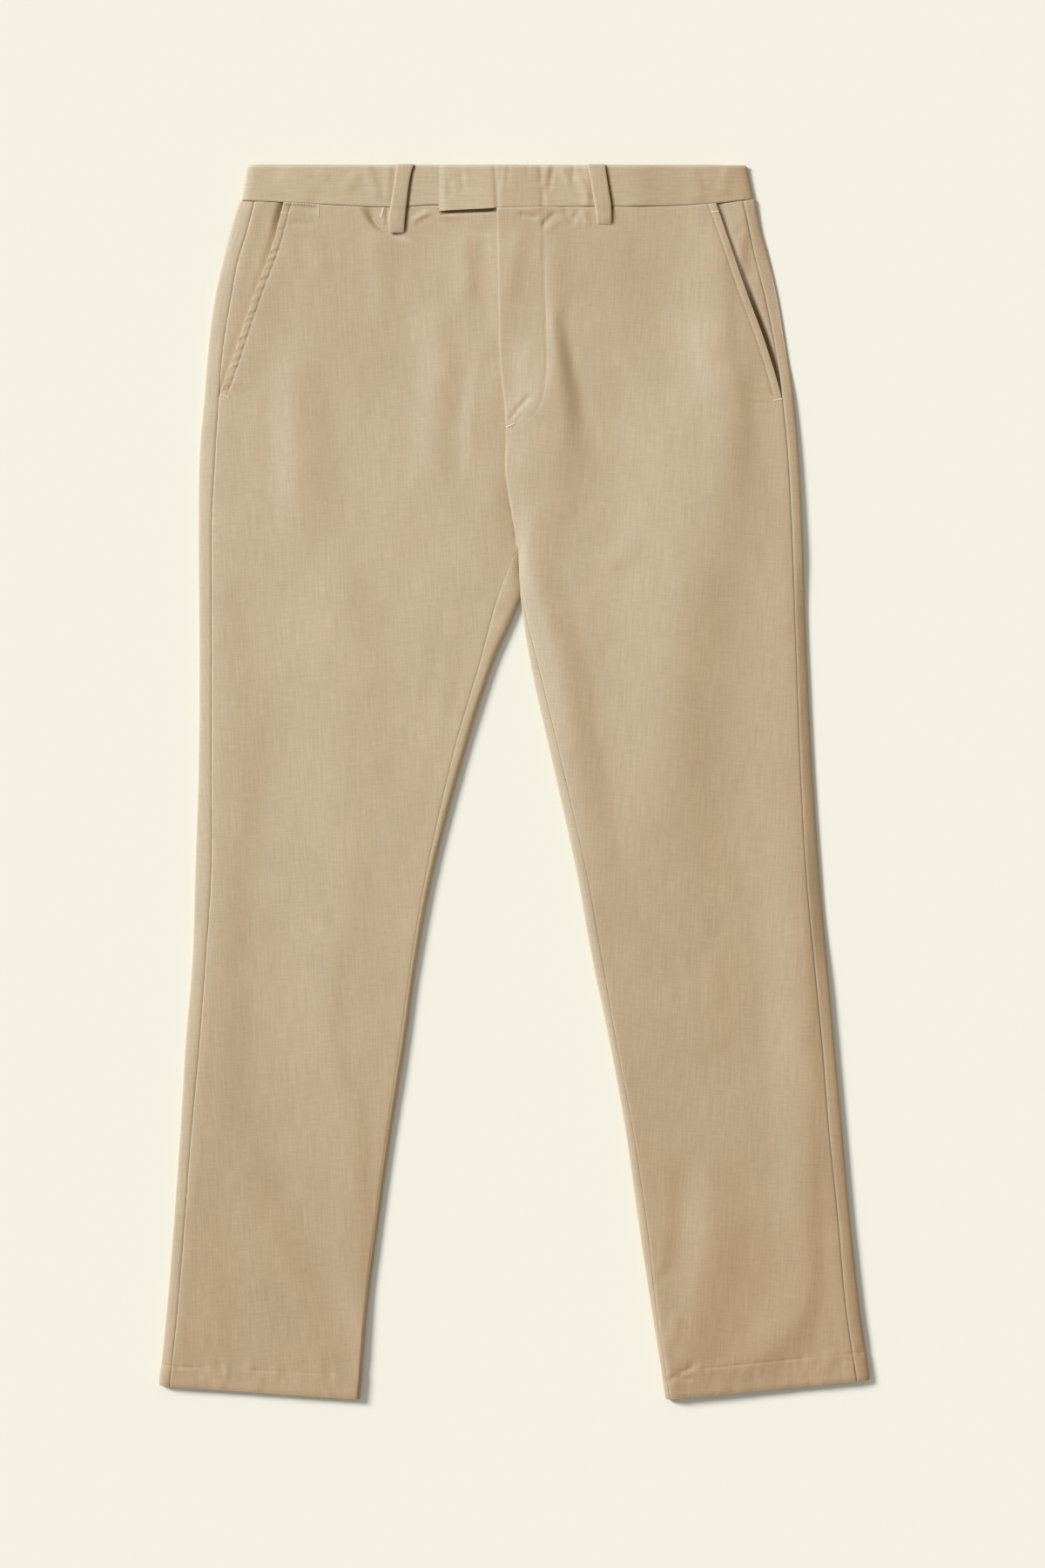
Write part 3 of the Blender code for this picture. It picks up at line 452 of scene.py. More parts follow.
# Long folds that wander: the crest's place, the reach of both flanks and the height at some distances
# down. The first and the last row are where the fold has died away.
RidgeRow = namedtuple("RidgeRow", "down x west east height")
RIDGES = (
    # right hip
    (
        RidgeRow(0.145, -0.1930, 0.024, 0.028, 0.0010),
        RidgeRow(0.188, -0.1895, 0.026, 0.032, 0.0016),
        RidgeRow(0.233, -0.1880, 0.027, 0.040, 0.0023),
        RidgeRow(0.280, -0.1855, 0.027, 0.044, 0.0020),
        RidgeRow(0.345, -0.1800, 0.028, 0.044, 0.0010),
    ),
    # right front, beside the fly
    (
        RidgeRow(0.112, -0.0710, 0.024, 0.016, 0.0004),
        RidgeRow(0.140, -0.0690, 0.024, 0.018, 0.0009),
        RidgeRow(0.170, -0.0640, 0.024, 0.022, 0.0014),
        RidgeRow(0.205, -0.0670, 0.026, 0.023, 0.0013),
        RidgeRow(0.255, -0.0690, 0.026, 0.022, 0.0010),
        RidgeRow(0.290, -0.0690, 0.026, 0.022, 0.0006),
    ),
    (
        RidgeRow(0.165, -0.0090, 0.018, 0.014, 0.0005),
        RidgeRow(0.185, -0.0170, 0.020, 0.018, 0.0006),
        RidgeRow(0.205, -0.0255, 0.022, 0.024, 0.0007),
        RidgeRow(0.230, -0.0280, 0.022, 0.028, 0.0007),
        RidgeRow(0.262, -0.0250, 0.020, 0.028, 0.0005),
        RidgeRow(0.305, -0.0190, 0.018, 0.024, 0.0004),
    ),
    # the bent valley to the left of the right front loop
    (
        RidgeRow(0.0330, -0.1300, 0.0060, 0.0100, -0.0008),
        RidgeRow(0.0420, -0.1240, 0.0070, 0.0100, -0.0024),
        RidgeRow(0.0480, -0.1195, 0.0080, 0.0110, -0.0034),
        RidgeRow(0.0530, -0.1145, 0.0100, 0.0120, -0.0036),
        RidgeRow(0.0575, -0.1085, 0.0120, 0.0120, -0.0030),
        RidgeRow(0.0610, -0.1020, 0.0140, 0.0120, -0.0016),
        RidgeRow(0.0680, -0.0900, 0.0160, 0.0100, -0.0004),
    ),
    # along the fly's outer edge and inside its stitching
    (
        RidgeRow(0.045, -0.0155, 0.011, 0.034, 0.0008),
        RidgeRow(0.080, -0.0150, 0.011, 0.034, 0.0010),
        RidgeRow(0.140, -0.0145, 0.011, 0.030, 0.0008),
        RidgeRow(0.190, -0.0140, 0.011, 0.024, 0.0006),
    ),
    (
        RidgeRow(0.050, 0.0300, 0.0050, 0.020, 0.0003),
        RidgeRow(0.085, 0.0305, 0.0052, 0.022, 0.0005),
        RidgeRow(0.150, 0.0325, 0.0056, 0.018, 0.0007),
        RidgeRow(0.190, 0.0320, 0.0062, 0.018, 0.0006),
        RidgeRow(0.212, 0.0290, 0.0060, 0.018, 0.0004),
    ),
    # a shallow trough from the fly towards the left hip
    (
        RidgeRow(0.055, 0.1210, 0.050, 0.034, -0.0005),
        RidgeRow(0.085, 0.1220, 0.052, 0.034, -0.0006),
        RidgeRow(0.113, 0.1155, 0.070, 0.036, -0.0012),
        RidgeRow(0.143, 0.1305, 0.064, 0.032, -0.0013),
        RidgeRow(0.180, 0.1455, 0.050, 0.028, -0.0009),
        RidgeRow(0.215, 0.1500, 0.045, 0.028, -0.0005),
    ),
    # below the left pocket
    (
        RidgeRow(0.162, 0.1900, 0.030, 0.018, 0.0007),
        RidgeRow(0.188, 0.1885, 0.030, 0.020, 0.0012),
        RidgeRow(0.225, 0.1880, 0.030, 0.022, 0.0013),
        RidgeRow(0.265, 0.1860, 0.030, 0.022, 0.0009),
        RidgeRow(0.320, 0.1840, 0.030, 0.022, 0.0005),
    ),
    # the inner side of the left leg
    (
        RidgeRow(0.280, 0.0230, 0.018, 0.034, 0.0005),
        RidgeRow(0.308, 0.0165, 0.016, 0.034, 0.0009),
        RidgeRow(0.338, 0.0125, 0.012, 0.031, 0.0016),
        RidgeRow(0.368, 0.0205, 0.016, 0.031, 0.0021),
        RidgeRow(0.398, 0.0295, 0.020, 0.029, 0.0026),
        RidgeRow(0.428, 0.0378, 0.023, 0.030, 0.0028),
        RidgeRow(0.458, 0.0438, 0.023, 0.0285, 0.0027),
        RidgeRow(0.488, 0.0490, 0.022, 0.026, 0.0022),
        RidgeRow(0.518, 0.0543, 0.021, 0.027, 0.0016),
        RidgeRow(0.556, 0.0618, 0.018, 0.026, 0.0011),
        RidgeRow(0.593, 0.0710, 0.018, 0.024, 0.0008),
        RidgeRow(0.645, 0.0810, 0.018, 0.024, 0.0004),
    ),
    # the middle of the left leg: a broad crest, and a trough beside it
    (
        RidgeRow(0.325, 0.1480, 0.060, 0.040, 0.0004),
        RidgeRow(0.368, 0.1400, 0.060, 0.042, 0.0008),
        RidgeRow(0.420, 0.1300, 0.055, 0.045, 0.0010),
        RidgeRow(0.470, 0.1240, 0.050, 0.045, 0.0010),
        RidgeRow(0.520, 0.1270, 0.050, 0.045, 0.0009),
        RidgeRow(0.570, 0.1290, 0.045, 0.050, 0.0008),
        RidgeRow(0.640, 0.1350, 0.045, 0.050, 0.0004),
    ),
    (
        RidgeRow(0.320, 0.1960, 0.030, 0.045, -0.0005),
        RidgeRow(0.380, 0.1910, 0.035, 0.045, -0.0009),
        RidgeRow(0.450, 0.1830, 0.040, 0.050, -0.0010),
        RidgeRow(0.520, 0.1820, 0.040, 0.050, -0.0010),
        RidgeRow(0.580, 0.1900, 0.040, 0.050, -0.0008),
        RidgeRow(0.650, 0.1950, 0.040, 0.050, -0.0005),
    ),
    # troughs down the right leg
    (
        RidgeRow(0.335, -0.2228, 0.024, 0.060, -0.0006),
        RidgeRow(0.383, -0.2258, 0.028, 0.070, -0.0009),
        RidgeRow(0.428, -0.2203, 0.032, 0.070, -0.0011),
        RidgeRow(0.481, -0.2085, 0.038, 0.070, -0.0013),
        RidgeRow(0.518, -0.2063, 0.036, 0.070, -0.0015),
        RidgeRow(0.563, -0.2138, 0.033, 0.075, -0.0013),
        RidgeRow(0.608, -0.2183, 0.034, 0.080, -0.0014),
        RidgeRow(0.668, -0.2218, 0.033, 0.085, -0.0015),
        RidgeRow(0.728, -0.2228, 0.033, 0.085, -0.0016),
        RidgeRow(0.788, -0.2228, 0.034, 0.080, -0.0014),
        RidgeRow(0.833, -0.2253, 0.034, 0.080, -0.0008),
        RidgeRow(0.880, -0.2290, 0.030, 0.080, -0.0004),
    ),
    (
        RidgeRow(0.786, -0.2130, 0.030, 0.055, -0.0006),
        RidgeRow(0.848, -0.2063, 0.032, 0.055, -0.0009),
        RidgeRow(0.893, -0.1948, 0.032, 0.048, -0.0011),
        RidgeRow(0.946, -0.1723, 0.032, 0.034, -0.0012),
        RidgeRow(0.991, -0.1548, 0.030, 0.026, -0.0010),
        RidgeRow(1.028, -0.1433, 0.028, 0.020, -0.0008),
        RidgeRow(1.064, -0.1395, 0.024, 0.014, -0.0006),
    ),
    (
        RidgeRow(0.856, -0.2468, 0.018, 0.030, -0.0003),
        RidgeRow(0.893, -0.2528, 0.018, 0.030, -0.0003),
        RidgeRow(0.968, -0.2423, 0.018, 0.030, -0.0005),
        RidgeRow(1.021, -0.2393, 0.018, 0.030, -0.0005),
        RidgeRow(1.058, -0.2380, 0.018, 0.030, -0.0004),
    ),
    # low crests down the right leg
    (
        RidgeRow(0.640, -0.1530, 0.045, 0.022, 0.0004),
        RidgeRow(0.700, -0.1590, 0.040, 0.020, 0.0006),
        RidgeRow(0.758, -0.1610, 0.040, 0.020, 0.0006),
        RidgeRow(0.815, -0.1540, 0.040, 0.020, 0.0003),
    ),
    (
        RidgeRow(0.770, -0.1470, 0.030, 0.016, 0.0004),
        RidgeRow(0.833, -0.1380, 0.030, 0.016, 0.0008),
        RidgeRow(0.878, -0.1360, 0.028, 0.015, 0.0009),
        RidgeRow(0.923, -0.1350, 0.026, 0.014, 0.0007),
        RidgeRow(0.968, -0.1380, 0.024, 0.012, 0.0004),
        RidgeRow(1.010, -0.1400, 0.024, 0.012, 0.0003),
    ),
    # beside the fly's edge, on the right front
    (
        RidgeRow(0.120, -0.0240, 0.0080, 0.0090, 0.0000),
        RidgeRow(0.160, -0.0270, 0.0090, 0.0100, 0.0004),
        RidgeRow(0.200, -0.0370, 0.0090, 0.0100, 0.0006),
        RidgeRow(0.250, -0.0385, 0.0090, 0.0100, 0.0005),
        RidgeRow(0.290, -0.0370, 0.0090, 0.0100, 0.0000),
    ),
    # the foot of the left leg: it slopes away from its inner fold, with troughs and crests across
    (
        RidgeRow(0.860, 0.1330, 0.050, 0.130, 0.0004),
        RidgeRow(0.930, 0.1350, 0.050, 0.130, 0.0020),
        RidgeRow(1.010, 0.1350, 0.050, 0.130, 0.0030),
        RidgeRow(1.100, 0.1350, 0.050, 0.130, 0.0024),
    ),
    (
        RidgeRow(0.841, 0.1448, 0.0150, 0.024, -0.0005),
        RidgeRow(0.875, 0.1440, 0.0160, 0.024, -0.0006),
        RidgeRow(0.908, 0.1433, 0.0160, 0.025, -0.0009),
        RidgeRow(0.938, 0.1400, 0.0160, 0.024, -0.0008),
        RidgeRow(0.961, 0.1370, 0.0150, 0.022, -0.0005),
        RidgeRow(0.983, 0.1343, 0.0135, 0.020, -0.0003),
    ),
    (
        RidgeRow(0.830, 0.1733, 0.026, 0.036, 0.0006),
        RidgeRow(0.863, 0.1720, 0.026, 0.036, 0.0009),
        RidgeRow(0.908, 0.1695, 0.026, 0.038, 0.0013),
        RidgeRow(0.953, 0.1643, 0.025, 0.036, 0.0014),
        RidgeRow(0.991, 0.1568, 0.024, 0.034, 0.0011),
        RidgeRow(1.028, 0.1493, 0.022, 0.030, 0.0008),
        RidgeRow(1.060, 0.1440, 0.020, 0.030, 0.0004),
    ),
    (
        RidgeRow(0.780, 0.2355, 0.030, 0.020, 0.0004),
        RidgeRow(0.848, 0.2430, 0.030, 0.019, 0.0005),
        RidgeRow(0.908, 0.2468, 0.032, 0.018, 0.0007),
        RidgeRow(0.946, 0.2515, 0.036, 0.017, 0.0011),
        RidgeRow(0.976, 0.2500, 0.042, 0.017, 0.0015),
        RidgeRow(0.998, 0.2395, 0.044, 0.024, 0.0017),
        RidgeRow(1.021, 0.2208, 0.040, 0.034, 0.0015),
        RidgeRow(1.050, 0.1950, 0.036, 0.040, 0.0006),
    ),
)
VALLEY_DEPTH = 0.0015  # the rise seam lies at the bottom of a valley between the legs
VALLEY_WEST = 0.038
VALLEY_EAST = 0.024
VALLEY_IN = Span(0.262, 0.045)
VALLEY_END = Span(0.335, 0.050)

# Small creases near the waist seam, the loops and the foot of the fly
CREASES = (
    # beside the right front loop
    Fold(-0.1095, 0.0340, -0.1104, 0.0600, 0.0000, 0.0026, 0.0024, -0.0007),
    # beside the loop's foot
    Fold(-0.0900, 0.0500, -0.0700, 0.0400, 0.0010, 0.0040, 0.0036, 0.0009),
    # under the closing tab and beside the fly
    Fold(-0.0700, 0.0418, -0.0120, 0.0385, 0.0004, 0.0036, 0.0036, -0.0016),
    Fold(-0.0600, 0.0440, -0.0160, 0.0600, -0.0030, 0.0070, 0.0070, -0.0006),
    Fold(-0.0740, 0.0450, -0.0420, 0.0440, 0.0010, 0.0060, 0.0070, 0.0005),
    # puckers below the waist seam, round the top of the fly's stitching
    Fold(0.0020, 0.0415, 0.0230, 0.0450, -0.0012, 0.0036, 0.0040, -0.0009),
    Fold(0.0230, 0.0560, 0.0380, 0.0400, 0.0020, 0.0036, 0.0034, -0.0009),
    Fold(0.0270, 0.0580, 0.0460, 0.0440, 0.0010, 0.0040, 0.0030, 0.0003),
    Fold(0.0400, 0.0385, 0.0500, 0.0490, 0.0010, 0.0034, 0.0034, -0.0008),
    Fold(0.0480, 0.0550, 0.0560, 0.0380, 0.0010, 0.0036, 0.0030, -0.0007),
    Fold(0.0590, 0.0360, 0.0640, 0.0550, 0.0000, 0.0032, 0.0030, 0.0008),
    # below the pocket's upper end, where the coin pocket's stitching draws the cloth in
    Fold(-0.1990, 0.0500, -0.1700, 0.0530, 0.0010, 0.0040, 0.0040, -0.0005),
    Fold(-0.1980, 0.0330, -0.1680, 0.0400, 0.0000, 0.0050, 0.0040, -0.0006),
    # small wrinkles where the left pocket ends
    Fold(0.2080, 0.1900, 0.2240, 0.1980, 0.0006, 0.0034, 0.0030, 0.0003),
    Fold(0.2040, 0.1990, 0.2230, 0.2040, 0.0006, 0.0034, 0.0030, 0.0003),
    Fold(0.2060, 0.2090, 0.2240, 0.2110, 0.0006, 0.0034, 0.0034, 0.0003),
    # the right hem's stitching by the side seam
    Fold(-0.3000, 1.0355, -0.2640, 1.0362, 0.0000, 0.0013, 0.0015, -0.0003),
    Fold(-0.2540, 1.0300, -0.2505, 1.0440, 0.0000, 0.0030, 0.0030, -0.0004),
    # at the inner corner of the left hem
    Fold(0.1270, 1.0500, 0.1620, 1.0290, 0.0000, 0.0040, 0.0045, -0.0007),
    Fold(0.1380, 1.0440, 0.1540, 1.0460, 0.0000, 0.0034, 0.0040, -0.0008),
    # inside the foot of the fly
    Fold(-0.0070, 0.2240, 0.0170, 0.1950, 0.0012, 0.0036, 0.0034, -0.0007),
    Fold(-0.0020, 0.2250, 0.0080, 0.2150, 0.0006, 0.0026, 0.0024, -0.0004),
    Fold(0.0060, 0.2080, 0.0190, 0.1980, 0.0010, 0.0034, 0.0030, -0.0002),
)

# Soft random bumps of the cloth: how high, how wide and how long, and the seed of their places
Bumps = namedtuple("Bumps", "height wide long seed")
CLOTH_BUMPS = (
    Bumps(0.00016, 0.036, 0.080, 11),
    Bumps(0.00007, 0.018, 0.036, 13),
    Bumps(0.00005, 0.009, 0.018, 12),
)
BAND_BUMPS = Bumps(0.00012, 0.022, 0.030, 51)
LOOP_BUMPS = Bumps(0.00008, 0.006, 0.012, 61)
LATTICE = 97  # the random values repeat after this many bumps
LATTICE_SHIFT = 500.0  # keeps the places above 0

# Short ripples in the turned edge of the right pocket: how far down the mouth, and how deep
Ripple = namedtuple("Ripple", "down depth")
RIPPLE_LEAN = 0.18
RIPPLE_WIDTH = 0.0013
RIPPLE_CREST = 0.6  # the crest beside a ripple, as a share of its depth
RIPPLE_CREST_AT = 0.0026
RIPPLE_CREST_WIDTH = 0.0015
RIPPLES = (
    Ripple(0.0560, 0.00030),
    Ripple(0.0755, 0.00060),
    Ripple(0.0832, 0.00055),
    Ripple(0.0905, 0.00030),
    Ripple(0.0988, 0.00065),
    Ripple(0.1084, 0.00045),
    Ripple(0.1180, 0.00035),
    Ripple(0.1287, 0.00070),
    Ripple(0.1346, 0.00045),
    Ripple(0.1420, 0.00035),
    Ripple(0.1500, 0.00060),
    Ripple(0.1600, 0.00035),
    Ripple(0.1690, 0.00045),
    Ripple(0.1762, 0.00065),
    Ripple(0.1806, 0.00040),
    Ripple(0.1860, 0.00060),
    Ripple(0.1902, 0.00045),
    Ripple(0.1935, 0.00055),
)

# Folds of the hip piece behind the left pocket's mouth
FACING_FOLDS = (
    Fold(0.2025, 0.0600, 0.2065, 0.1020, 0.000, 0.0110, 0.0080, -0.0006),
    Fold(0.1900, 0.0640, 0.1990, 0.0480, 0.000, 0.0050, 0.0050, -0.0003),
    Fold(0.1960, 0.036, 0.1945, 0.095, 0.000, 0.014, 0.008, 0.0006),
)

# Folds of the waistband's front
BAND_FOLDS = (
    # the tab, from its end to the fly
    Fold(-0.0560, 0.011, -0.0552, 0.031, 0.000, 0.0050, 0.0046, -0.0004),
    Fold(-0.0470, 0.004, -0.0440, 0.026, 0.001, 0.0046, 0.0040, -0.0003),
    Fold(-0.0430, -0.002, -0.0415, 0.020, 0.000, 0.0034, 0.0050, 0.0003),
    Fold(-0.0185, -0.010, -0.0140, 0.056, 0.0008, 0.0030, 0.0024, -0.0008),
    Fold(-0.0115, -0.008, -0.0140, 0.024, 0.000, 0.0022, 0.0022, -0.0004),
    Fold(-0.0050, -0.008, -0.0066, 0.022, 0.000, 0.0022, 0.0026, -0.0004),
    Fold(-0.0120, -0.030, -0.0120, 0.066, 0.000, 0.0400, 0.0340, 0.0010),
    # between the fly and the left front loop
    Fold(0.0115, -0.004, 0.0110, 0.014, 0.000, 0.0024, 0.0022, -0.0003),
    Fold(0.0222, -0.008, 0.0228, 0.020, 0.000, 0.0034, 0.0026, -0.0007),
    Fold(0.0240, 0.016, 0.0246, 0.050, 0.000, 0.0034, 0.0034, -0.0006),
    Fold(0.0345, -0.002, 0.0285, 0.025, 0.000, 0.0034, 0.0034, -0.0006),
    Fold(0.0300, -0.004, 0.0270, 0.012, 0.000, 0.0030, 0.0022, 0.0004),
    Fold(0.0400, 0.000, 0.0500, 0.020, -0.001, 0.0050, 0.0040, 0.0006),
    Fold(0.0510, -0.006, 0.0500, 0.016, 0.000, 0.0030, 0.0030, -0.0006),
    Fold(0.0550, 0.006, 0.0650, 0.040, 0.001, 0.0080, 0.0040, 0.0009),
    Fold(0.0620, -0.008, 0.0655, 0.034, 0.000, 0.0060, 0.0034, 0.0006),
    # beside the right front loop and along the rest
    Fold(-0.1290, -0.006, -0.1150, 0.034, 0.000, 0.0100, 0.0050, 0.0006),
    Fold(-0.1080, -0.006, -0.1090, 0.034, 0.000, 0.0060, 0.0040, 0.0005),
    Fold(-0.2050, 0.002, -0.1700, 0.032, 0.000, 0.0160, 0.0160, 0.0006),
    Fold(-0.1500, 0.026, -0.1320, 0.004, 0.000, 0.0090, 0.0080, 0.0004),
    Fold(-0.1700, 0.004, -0.1600, 0.014, 0.000, 0.0080, 0.0080, 0.0003),
    Fold(0.1000, -0.008, 0.1100, 0.046, 0.000, 0.0200, 0.0220, 0.0007),
    Fold(0.1500, 0.000, 0.1620, 0.036, 0.001, 0.0140, 0.0080, 0.0006),
    Fold(0.1850, -0.004, 0.1780, 0.030, 0.000, 0.0080, 0.0090, 0.0005),
)

# Folds of the back, which lies on the floor: a fold there is lifted off it
BACK_FOLDS = (
    Fold(-0.1900, 0.130, -0.1500, 0.420, 0.004, 0.030, 0.034, 0.0008),
    Fold(-0.0500, 0.180, -0.0900, 0.360, 0.002, 0.022, 0.026, 0.0007),
    Fold(-0.2200, 0.470, -0.2000, 0.760, 0.006, 0.026, 0.030, 0.0008),
    Fold(-0.1700, 0.800, -0.2200, 1.020, 0.002, 0.022, 0.026, 0.0007),
    Fold(0.0600, 0.160, 0.0950, 0.370, -0.002, 0.026, 0.022, 0.0007),
    Fold(0.1750, 0.120, 0.1500, 0.400, -0.004, 0.030, 0.034, 0.0008),
    Fold(0.1200, 0.450, 0.1700, 0.720, 0.004, 0.028, 0.030, 0.0008),
    Fold(0.2300, 0.780, 0.1900, 1.010, -0.003, 0.024, 0.026, 0.0007),
)

# Belt loops of the front: the middle line and the width at a few distances down
LoopRow = namedtuple("LoopRow", "down middle width")
RIGHT_LOOP = (
    LoopRow(-0.0006, -0.0940, 0.0146),
    LoopRow(0.0080, -0.0961, 0.0134),
    LoopRow(0.0195, -0.0978, 0.0130),
    LoopRow(0.0343, -0.0999, 0.0136),
    LoopRow(0.0488, -0.1018, 0.0143),
    LoopRow(0.0584, -0.1018, 0.0130),
)
LEFT_LOOP = (
    LoopRow(-0.0006, 0.0703, 0.0150),
    LoopRow(0.0080, 0.0716, 0.0148),
    LoopRow(0.0195, 0.0735, 0.0146),
    LoopRow(0.0343, 0.0759, 0.0143),
    LoopRow(0.0440, 0.0768, 0.0135),
    LoopRow(0.0514, 0.0772, 0.0130),
)
BACK_LOOPS = (
    ("belt_loop_back_right", -0.1150),
    ("belt_loop_back_centre", 0.0000),
    ("belt_loop_back_left", 0.1150),
)
BACK_LOOP_END = 0.0540
BACK_LOOP_WIDTH = 0.0140
LOOP_ARCH = 0.0004
LOOP_GAP = 0.0002
LOOP_CROWN = 0.00022  # how much higher a loop is in its middle than at its edges
LOOP_EDGE_TURN = 0.00035
LOOP_LEVEL_BAND = 0.0004  # a loop's foot follows the front's height no further than this
LOOP_STEP_DOWN = Span(0.034, 0.006)  # from the waistband to the front
LOOP_WEAR_REACH = 0.0009

# How far a front loop's ends turn down, and over what distance
EndTurn = namedtuple("EndTurn", "depth over")
LOOP_TOP_TURN = EndTurn(0.0007, 0.0018)
LOOP_FOOT_TURNS = (EndTurn(0.0006, 0.0080), EndTurn(0.0004, 0.0024))

# Distances from an edge at which the cloth has a row or a column, close together where it turns
NEAR_EDGE = (0.0, 0.0003, 0.0007, 0.0012, 0.0020)
EDGE_STEPS = np.array([*NEAR_EDGE, 0.0031, 0.0044, 0.0055, 0.0061, 0.0066, 0.0071, 0.0078, 0.0092])
FLY_STEPS = np.concatenate([NEAR_EDGE, np.arange(0.0031, 0.0420, 0.0012)])
INNER_STEPS = np.array([*NEAR_EDGE, 0.0031, 0.0046, 0.0064, 0.0085, 0.0110])
BAND_END_STEPS = np.array([[*NEAR_EDGE, 0.0032, 0.0050]])
BAND_EDGE_STEPS = np.array([0.0, 0.0003, 0.0007, 0.0012, 0.0018, 0.0026])
HEM_STEPS = np.array([0.0018, 0.0010, 0.0004, 0.0])
FACING_SHARES = np.array([[0.0, 0.02, 0.05, 0.10, 0.17, 0.26, 0.36, 0.46, 0.56, 0.66, 0.76, 0.85, 0.93, 1.0]])
UNDERLAP_SHARES = np.array([[0.1, 0.25, 0.5, 0.75, 1.0]])
LOOP_HALF_SHARES = np.array([0.0, 0.1, 0.2, 0.30, 0.38, 0.44, 0.48, 0.5])
BACK_LOOP_SHARES = np.array([[0.5, 0.46, 0.38, 0.2, 0.0, -0.2, -0.38, -0.46, -0.5]])
BAND_ROWS_HIGH = 0.036
BAND_FRONT_STEP = 0.0018

# A leg's rows between the waist and the hem
RowRun = namedtuple("RowRun", "start stop step")
LEG_ROWS = (
    RowRun(0.0410, 0.0700, 0.0013),
    RowRun(0.0700, 0.2400, 0.0019),
    RowRun(0.2400, 0.3850, 0.0024),
    RowRun(0.3850, 0.9600, 0.0046),
)

# The fly's J of stitching, from the waist seam round to the fly's foot
StitchPoint = namedtuple("StitchPoint", "x down")
FLY_STITCHING = (
    StitchPoint(0.0244, 0.0372),
    StitchPoint(0.0246, 0.0700),
    StitchPoint(0.0250, 0.1000),
    StitchPoint(0.0262, 0.1350),
    StitchPoint(0.0270, 0.1658),
    StitchPoint(0.0255, 0.1913),
    StitchPoint(0.0210, 0.2070),
    StitchPoint(0.0128, 0.2171),
    StitchPoint(0.0008, 0.2250),
    StitchPoint(-0.0070, 0.2273),
)

# Bar tacks, from one end to the other, and the short row of stitches beside the coin pocket
Tack = namedtuple("Tack", "leg x down to_x to_down width", defaults=(TACK_WIDE,))
TACKS = (
    Tack("right", -0.2030, 0.0418, -0.1935, 0.0425),
    Tack("right", -0.2538, 0.1975, -0.2462, 0.2005),
    Tack("left", 0.1690, 0.0408, 0.1768, 0.0400),
    Tack("left", 0.2238, 0.2028, 0.2306, 0.2015),
    Tack("left", -0.0070, 0.2262, 0.0002, 0.2228),
    Tack("right", -0.1690, 0.0352, -0.1690, 0.0445, 0.0012),
    Tack("right", -0.1128, 0.0372, -0.1152, 0.0450, 0.0020),
)
COIN_POCKET_ROW = Tack("right", -0.1982, 0.0341, -0.1722, 0.0352, 0.0026)
COIN_POCKET_PITCH = 0.0015

# Colours, as linear values, and the lamp's direction: slopes facing it get a painted greyer tint, the others
# browner
PAINTED_LIGHT_DIRECTION = (-1.09, 0.62, 0.0)
PAINTED_LIT_TINT = (0.946, 1.018, 1.102, 1.0)
PAINTED_SHADED_TINT = (1.054, 0.982, 0.898, 1.0)
PAINTED_SHADOW_TONE = (0.46, 0.34, 0.21, 1.0)  # painted shadow beside the loops, under the tab and in the left pocket's hollow
UPPER_TONE = (0.498, 0.396, 0.261, 1.0)
# the darker, browner tone of the painted shade where the light falls off
PAINTED_FALLOFF_TONE = (0.414, 0.293, 0.176, 1.0)
THREAD_TONE = (0.500, 0.400, 0.262, 1.0)
TACK_TONE = (0.760, 0.680, 0.525, 1.0)
FLOOR_TONE = (0.793, 0.770, 0.667, 1.0)
FALL_RANGE = 1.2  # the painted darkening towards that tone which counts as all of it
RIB_REPEAT = 0.00082  # from rib to rib, along a thread
WAVE_RADIANS = 10  # what the wave texture counts to a unit of length
TWILL_BUMP = 0.00009
THREAD_BUMP = 0.00006


# ---------------------------------------------------------------- numbers

def smooth(t):
    """0 up to 1 with level ends, clamped outside."""
    t = np.clip(t, 0.0, 1.0)
    return t * t * (3 - 2 * t)


def grown(at, span):
    """0 up to the span's start, 1 beyond it, and a smooth rise between."""
    return smooth((at - span.start) / span.over)


def faded(at, span):
    return 1 - grown(at, span)


def mix(a, b, t):
    return a + (b - a) * t


def read(table, at, column):
    """The named column on a smooth curve through the table's rows; the first column is the place."""
    places = np.array([row[0] for row in table])
    values = np.array([getattr(row, column) for row in table])
    slopes = np.empty_like(values)
    slopes[1:-1] = (values[2:] - values[:-2]) / (places[2:] - places[:-2])
    slopes[0] = (values[1] - values[0]) / (places[1] - places[0])
    slopes[-1] = (values[-1] - values[-2]) / (places[-1] - places[-2])
    at = np.clip(at, places[0], places[-1])
    i = np.clip(np.searchsorted(places, at, side="right") - 1, 0, len(places) - 2)
    step = places[i + 1] - places[i]
    t = (at - places[i]) / step
    return (
        values[i] * (1 + 2 * t) * (1 - t) ** 2
        + slopes[i] * step * t * (1 - t) ** 2
        + values[i + 1] * (3 - 2 * t) * t * t
        - slopes[i + 1] * step * t * t * (1 - t)
    )


def steps(start, stop, step):
    """Evenly spaced values from start up to, but without, stop."""
    count = max(int(round((stop - start) / step)), 1)
    return np.linspace(start, stop, count, endpoint=False)


def unevenness(x, y, size_x, size_y, seed):
    """Soft random bumps of about this size, from -1 to 1."""
    lattice = np.random.default_rng(seed).uniform(-1.0, 1.0, (LATTICE, LATTICE))
    u, v = x / size_x + LATTICE_SHIFT, y / size_y + LATTICE_SHIFT
    i, j = np.floor(u).astype(int), np.floor(v).astype(int)
    fu, fv = smooth(u - i), smooth(v - j)
    this_i, next_i, this_j, next_j = i % LATTICE, (i + 1) % LATTICE, j % LATTICE, (j + 1) % LATTICE
    low = mix(lattice[this_i, this_j], lattice[next_i, this_j], fu)
    high = mix(lattice[this_i, next_j], lattice[next_i, next_j], fu)
    return mix(low, high, fv)


def bumpy(x, y, bumps):
    return bumps.height * unevenness(x, y, bumps.wide, bumps.long, bumps.seed)


